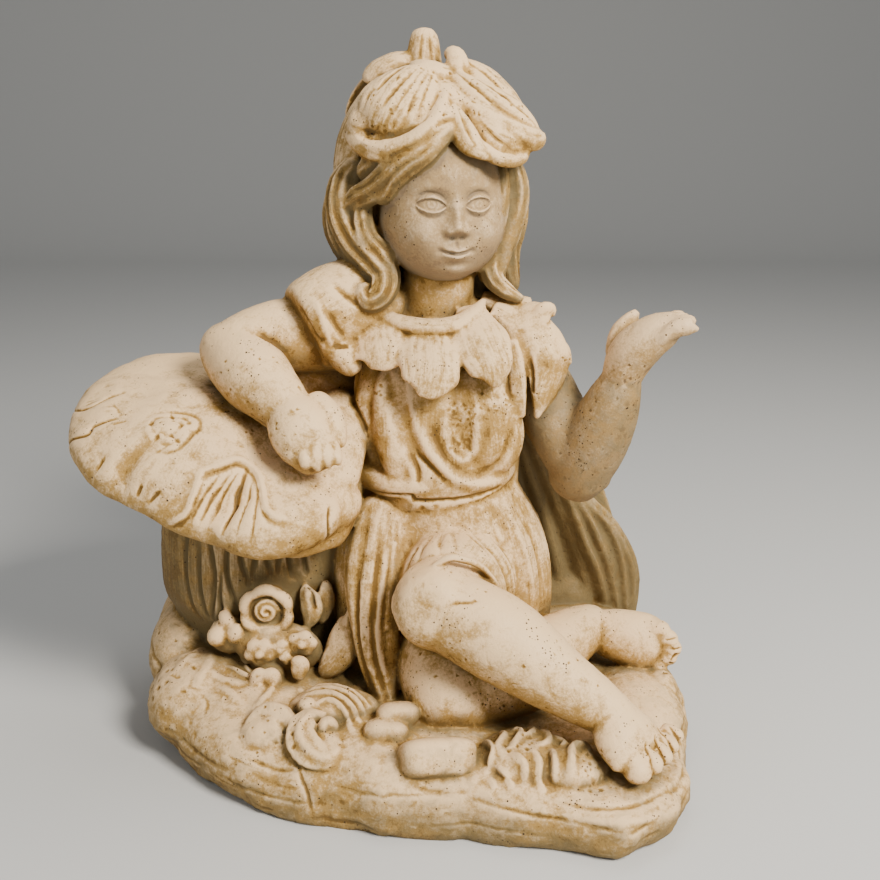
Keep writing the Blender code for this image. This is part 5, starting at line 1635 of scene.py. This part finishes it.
def antique_stone():
    """Cast stone under an antique wash: cream on the heights, ochre and brown in the hollows,
    dark pits, and a dull polish on the smooth flesh. Cream also falls on upward faces as
    painted top light, and ochre, brown and olive where the skin lies closed or faces down
    as painted shade."""
    finish = bpy.context.scene.statue_finish
    material = bpy.data.materials.new("antique_cast_stone")
    material.use_nodes = True
    tree = material.node_tree
    shader = tree.nodes["Principled BSDF"]
    place = tree.nodes.new("ShaderNodeTexCoord").outputs["Object"]
    relief, hollow, shade, upward = (attribute(tree, name)
                                     for name in ("relief", "hollow", "shade", "upward"))
    tooled, flesh, weathered = parts_of(tree, "finish", attribute(tree, "finish", "Vector"))
    above_ground = parts_of(tree, "place", place)[2]

    marks = place_group(tree, tool_mark_group(), "tool marks",
                        Grain=attribute(tree, "grain", "Vector"))
    bubbles = air_bubble_group()
    small = place_group(tree, bubbles, "small bubbles", Place=place, Pitch=560.0,
                        Size=0.42, Amount=0.5)
    large = place_group(tree, bubbles, "large bubbles", Place=place, Pitch=270.0,
                        Size=0.26, Amount=0.1)
    pits = math_node(tree, "pits", "MAXIMUM", small[0], large[0])

    cloud = noise(tree, "clouds", place, 16.0, 3.0, 0.6)
    mottle = noise(tree, "mottle", place, 85.0, 5.0, 0.65, 0.6)
    speck = noise(tree, "speck", place, 520.0, 3.0, 0.7)
    scratch, broad = (
        math_node(tree, "tooled " + mark.name.lower(), "MULTIPLY", tooled,
                  math_node(tree, mark.name.lower() + " middle", "SUBTRACT", mark, 0.5))
        for mark in marks)

    # How high, open and upward-facing the skin lies, stirred so that the wash breaks up: the real
    # wash, with painted shade in closed places and painted top light on upward faces.
    level = weighed(tree, "level", 0.27, [
        (relief, 0.5, 1.6), (hollow, 0.5, 0.8), (upward, 0.5, 0.7), (shade, 0.74, 0.6),
        (scratch, 0.0, 0.9), (broad, 0.0, 0.6), (mottle, 0.5, 1.0), (cloud, 0.5, 0.9),
        (speck, 0.5, 0.7), (tooled, 0.35, -0.26), (weathered, 0.1, -0.35)])
    # Cream on the heights: real dry-brushing, and on upward, open faces painted top light.
    raised = ramp(tree, "heights", level, 0.3, 0.8)
    colour = mix_colour(tree, "body to cream", raised, finish.body, finish.cream)
    # Ochre in the hollows: the real wash, and where the skin lies closed or faces down painted
    # shade.
    sunk = ramp(tree, "hollows", level, 0.3, 0.02)
    colour = mix_colour(tree, "ochre in hollows and shade", sunk, colour, finish.ochre)
    # Olive grime where the clay is weathered and mottled, with painted shade where the skin lies
    # closed or faces down.
    dirt_and_shade = weighed(tree, "dirt_and_shade", 0.0, [(mottle, 0.0, 0.8), (weathered, 0.0, 0.75),
                                       (shade, 0.8, -0.8), (upward, 0.5, -0.35)])
    dirt_and_shade = ramp(tree, "grime_and_shade", dirt_and_shade, 0.42, 0.95, 0.0, 0.85)
    colour = mix_colour(tree, "olive grime", dirt_and_shade, colour, finish.grime_and_shade)
    film = math_node(tree, "grey film", "MULTIPLY", flesh, weathered)
    film = weighed(tree, "film", 0.0, [(film, 0.04, 2.0), (cloud, 0.5, 0.3)])
    film = ramp(tree, "film share", film, 0.15, 0.75, 0.0, 0.6)
    colour = mix_colour(tree, "grey film", film, colour, finish.film)
    # Patchy olive brown, darker towards the ground.
    low = ramp(tree, "near the ground", above_ground, 42 * MM, 4 * MM)
    low = math_node(tree, "darker foot", "MULTIPLY", low, ramp(tree, "darker foot patches", cloud, 0.4, 0.62))
    low = math_node(tree, "darker foot weight", "MULTIPLY", low, 0.6)
    colour = mix_colour(tree, "darker foot", low, colour, finish.grime_and_shade)
    # Ochre where the skin lies closed: the real wash in crevices, and painted shade under the
    # cap, in armpits and behind the knee.
    closed = weighed(tree, "closed", 0.0, [(shade, 0.0, 1.0), (mottle, 0.5, 0.25)])
    closed = ramp(tree, "crevices", closed, 0.62, 0.2, 0.0, 0.9)
    colour = mix_colour(tree, "wash and shade in crevices", closed, colour, finish.ochre)
    # Deep brown where relief and openness are lowest: real brown in the cracks, partly painted
    # shade.
    dark = weighed(tree, "cracks", 0.0, [(relief, 0.0, 1.0), (shade, 0.0, 0.55)])
    dark = ramp(tree, "deep", dark, 0.52, 0.2)
    colour = mix_colour(tree, "brown and shade in cracks", dark, colour, finish.deep)
    colour = mix_colour(tree, "dark pits", pits, colour, finish.pit)
    tree.links.new(colour, shader.inputs["Base Color"])

    sheen = math_node(tree, "polish", "MULTIPLY", raised, flesh)
    rough = ramp(tree, "roughness", sheen, 0.0, 1.0, 0.68, 0.5)
    rough = weighed(tree, "mottled roughness", 0.0, [(rough, 0.0, 1.0), (mottle, 0.5, 0.3)])
    tree.links.new(rough, shader.inputs["Roughness"])
    shader.inputs["Specular IOR Level"].default_value = 0.28

    height = weighed(tree, "height", 0.0, [
        (scratch, 0.0, 0.6), (broad, 0.0, 0.8), (speck, 0.5, 0.35), (mottle, 0.5, 1.0),
        (pits, 0.0, -0.8)])
    raised_by = new_node(tree, "ShaderNodeBump", "fine relief")
    for name, value in (("Strength", 1.0), ("Distance", MM), ("Height", height)):
        feed(tree, raised_by.inputs[name], value)
    tree.links.new(raised_by.outputs["Normal"], shader.inputs["Normal"])
    return material


# ---------------------------------------------------------------- stage
CAMERA_PLACE = (0.040, -0.800, 0.478)
CAMERA_TILT = 73.5
STATUE_MIDDLE = (0, 0, 0.28)
FLOOR_REACH = 3.0


def soft_light(name, place, size, power, colour):
    """A square soft light turned towards the middle of the statue."""
    data = bpy.data.lights.new(name, "AREA")
    data.size = size
    data.energy = power
    data.color = colour
    lamp = put_in_scene(name, data)
    lamp.location = place
    aim = Vector(STATUE_MIDDLE) - Vector(place)
    lamp.rotation_euler = aim.to_track_quat("-Z", "Y").to_euler()


def set_stage():
    """A plain pale floor that sweeps up behind, soft light and the camera."""
    stage = bpy.context.scene.statue_stage
    bm = bmesh.new()
    bmesh.ops.create_grid(bm, x_segments=1, y_segments=1, size=FLOOR_REACH)
    back = [e for e in bm.edges if all(v.co.y > 0 for v in e.verts)]
    bend, turns = 1.2, 12
    for k in range(turns):
        angle = math.radians(90) * (k + 0.5) / turns
        made = bmesh.ops.extrude_edge_only(bm, edges=back)["geom"]
        back = [g for g in made if isinstance(g, bmesh.types.BMEdge)]
        verts = [g for g in made if isinstance(g, bmesh.types.BMVert)]
        step = bend * math.radians(90) / turns
        bmesh.ops.translate(bm, verts=verts, vec=(0, step * math.cos(angle),
                                                  step * math.sin(angle)))
    made = bmesh.ops.extrude_edge_only(bm, edges=back)["geom"]
    verts = [g for g in made if isinstance(g, bmesh.types.BMVert)]
    bmesh.ops.translate(bm, verts=verts, vec=(0, 0, FLOOR_REACH))
    for face in bm.faces:
        face.smooth = True
    floor = put_in_scene("floor", mesh_from(bm, "floor"))
    paint = bpy.data.materials.new("pale_floor")
    paint.use_nodes = True
    shader = paint.node_tree.nodes["Principled BSDF"]
    shader.inputs["Base Color"].default_value = (*stage.floor_colour, 1.0)
    shader.inputs["Roughness"].default_value = 0.9
    floor.data.materials.append(paint)

    soft_light("key", (0.95, -1.1, 1.35), 0.55, stage.key_power, (1.0, 0.95, 0.88))
    soft_light("fill", (-1.5, -1.2, 0.7), 1.4, stage.fill_power, (0.93, 0.96, 1.0))
    soft_light("top", (0.1, 0.3, 1.9), 1.0, stage.top_power, (1.0, 0.98, 0.95))
    world = bpy.data.worlds.new("room")
    world.use_nodes = True
    sky = world.node_tree.nodes["Background"]
    sky.inputs["Color"].default_value = (0.95, 0.97, 1.0, 1.0)
    sky.inputs["Strength"].default_value = stage.room_light
    bpy.context.scene.world = world

    data = bpy.data.cameras.new("camera")
    data.lens = stage.lens
    data.sensor_width = 36.0
    camera = put_in_scene("camera", data)
    camera.location = CAMERA_PLACE
    camera.rotation_euler = (math.radians(CAMERA_TILT), 0, 0)
    bpy.context.scene.camera = camera


# ---------------------------------------------------------------- what a user may change
class StatueSizes(bpy.types.PropertyGroup):
    """Sizes of the statue's parts."""

    cap_radius: FloatProperty(
        name="Cap radius", description="Mean radius of the mushroom's cap",
        default=118 * MM, unit="LENGTH")
    cap_thickness: FloatProperty(
        name="Cap thickness", description="Thickness of the cap at its middle",
        default=47 * MM, unit="LENGTH")
    head_half_width: FloatProperty(
        name="Head half width", description="Half the width of the head across the cheeks",
        default=47 * MM, unit="LENGTH")
    petal_thickness: FloatProperty(
        name="Petal thickness", description="Thickness of the collar's petals",
        default=8 * MM, unit="LENGTH")
    cell: FloatProperty(
        name="Cell", description="Grid size at which the clay forms are fused",
        default=1.2 * MM, unit="LENGTH")
    triangles: IntProperty(
        name="Triangles", description="Triangles of the finished casting",
        default=196000)


class StatueFinish(bpy.types.PropertyGroup):
    """Colours of the antique wash, some also laid on as painted top light and painted shade."""

    # Cream is also laid on upward, open faces as painted top light.
    cream: FloatVectorProperty(
        name="Cream", description="Dry-brushed cream on the heights",
        default=(0.93, 0.64, 0.34), subtype="COLOR")
    body: FloatVectorProperty(
        name="Body", description="Golden buff of the stone's body",
        default=(0.42, 0.245, 0.062), subtype="COLOR")
    # Ochre also goes where the skin lies closed or faces down, as painted shade.
    ochre: FloatVectorProperty(
        name="Ochre", description="Ochre wash in the hollows",
        default=(0.19, 0.098, 0.016), subtype="COLOR")
    deep: FloatVectorProperty(
        # Deep brown of the cracks, also laid on as painted shade where the skin lies closed.
        name="Deep", description="Brown in cracks and crevices",
        default=(0.035, 0.018, 0.006), subtype="COLOR")
    # Olive brown of weathered grime, also laid on as painted shade where the skin lies closed or
    # faces down.
    grime_and_shade: FloatVectorProperty(
        name="Grime", description="Olive brown of the weathered parts",
        default=(0.155, 0.118, 0.052), subtype="COLOR")
    film: FloatVectorProperty(
        name="Film", description="Grey film on the weathered flesh",
        default=(0.40, 0.315, 0.235), subtype="COLOR")
    pit: FloatVectorProperty(
        name="Pit", description="Dark bottom of the air bubbles",
        default=(0.05, 0.03, 0.015), subtype="COLOR")


class StatueStage(bpy.types.PropertyGroup):
    """Light and camera."""

    floor_colour: FloatVectorProperty(
        name="Floor", description="Colour of the plain floor",
        default=(0.62, 0.62, 0.60), subtype="COLOR")
    key_power: FloatProperty(
        name="Key light", description="Power of the main light", default=60.0,
        unit="POWER")
    fill_power: FloatProperty(
        name="Fill light", description="Power of the fill light", default=6.0,
        unit="POWER")
    top_power: FloatProperty(
        name="Top light", description="Power of the light overhead", default=8.0,
        unit="POWER")
    room_light: FloatProperty(
        name="Room light", description="Strength of the even light", default=0.24)
    lens: FloatProperty(
        name="Lens", description="Focal length of the camera", default=44.06,
        unit="CAMERA")


# ---------------------------------------------------------------- operators
class STATUE_OT_rock(bpy.types.Operator):
    """Model the rock base in clay"""

    bl_idname = "statue.rock"
    bl_label = "Rock base"

    def execute(self, context):
        model_rock()
        return {"FINISHED"}


class STATUE_OT_ground_cover(bpy.types.Operator):
    """Model the pebbles, grass and curled leaves on the rock"""

    bl_idname = "statue.ground_cover"
    bl_label = "Ground cover"

    def execute(self, context):
        model_ground_cover()
        return {"FINISHED"}


class STATUE_OT_mushroom(bpy.types.Operator):
    """Model the mushroom's stem and cap in clay"""

    bl_idname = "statue.mushroom"
    bl_label = "Mushroom"

    def execute(self, context):
        model_mushroom()
        return {"FINISHED"}


class STATUE_OT_flowers(bpy.types.Operator):
    """Model the rose, small flowers and leaves on the stem"""

    bl_idname = "statue.flowers"
    bl_label = "Flowers"

    def execute(self, context):
        model_flowers()
        return {"FINISHED"}


class STATUE_OT_figure(bpy.types.Operator):
    """Model the girl's body, hands and feet"""

    bl_idname = "statue.figure"
    bl_label = "Figure"

    def execute(self, context):
        model_body()
        model_hands_and_feet()
        return {"FINISHED"}


class STATUE_OT_dress(bpy.types.Operator):
    """Model the dress with its sleeves and flower collar"""

    bl_idname = "statue.dress"
    bl_label = "Dress"

    def execute(self, context):
        model_dress()
        model_sleeves()
        model_collar()
        return {"FINISHED"}


class STATUE_OT_head(bpy.types.Operator):
    """Model the head, the hair and the flower hat"""

    bl_idname = "statue.head"
    bl_label = "Head, hair and hat"

    def execute(self, context):
        model_head()
        model_hair()
        model_hat()
        return {"FINISHED"}


class STATUE_OT_wings(bpy.types.Operator):
    """Model both folded wings"""

    bl_idname = "statue.wings"
    bl_label = "Wings"

    def execute(self, context):
        model_wings()
        return {"FINISHED"}


class STATUE_OT_cast(bpy.types.Operator):
    """Fuse the clays into one casting, carve it and give it its stone finish"""

    bl_idname = "statue.cast"
    bl_label = "Cast and finish"

    def execute(self, context):
        casting = cast_statue()
        casting.data.materials.append(antique_stone())
        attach(casting, "root")
        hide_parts(NODE)
        return {"FINISHED"}


class STATUE_OT_stage(bpy.types.Operator):
    """Set the floor, the lights and the camera"""

    bl_idname = "statue.stage"
    bl_label = "Stage"

    def execute(self, context):
        set_stage()
        return {"FINISHED"}


STEPS = (STATUE_OT_rock, STATUE_OT_ground_cover, STATUE_OT_mushroom, STATUE_OT_flowers,
         STATUE_OT_figure, STATUE_OT_dress, STATUE_OT_head, STATUE_OT_wings,
         STATUE_OT_cast, STATUE_OT_stage)


class STATUE_PT_steps(bpy.types.Panel):
    """The steps of making the statue, in order"""

    bl_idname = "STATUE_PT_steps"
    bl_label = "Fairy statue"
    bl_space_type = "VIEW_3D"
    bl_region_type = "UI"
    bl_category = "Statue"

    def draw(self, context):
        for group in (context.scene.statue_sizes, context.scene.statue_finish,
                      context.scene.statue_stage):
            for name in group.__annotations__:
                self.layout.prop(group, name)
        for step in STEPS:
            self.layout.operator(step.bl_idname)


CLASSES = (StatueSizes, StatueFinish, StatueStage, *STEPS, STATUE_PT_steps)


def register():
    for cls in CLASSES:
        bpy.utils.register_class(cls)
    bpy.types.Scene.statue_sizes = PointerProperty(type=StatueSizes)
    bpy.types.Scene.statue_finish = PointerProperty(type=StatueFinish)
    bpy.types.Scene.statue_stage = PointerProperty(type=StatueStage)


def unregister():
    for name in ("statue_sizes", "statue_finish", "statue_stage"):
        delattr(bpy.types.Scene, name)
    for cls in reversed(CLASSES):
        bpy.utils.unregister_class(cls)


def main():
    """Make the statue and its stage, step by step."""
    register()
    for step in STEPS:
        family, name = step.bl_idname.split(".")
        getattr(getattr(bpy.ops, family), name)()


if __name__ == "__main__":
    main()
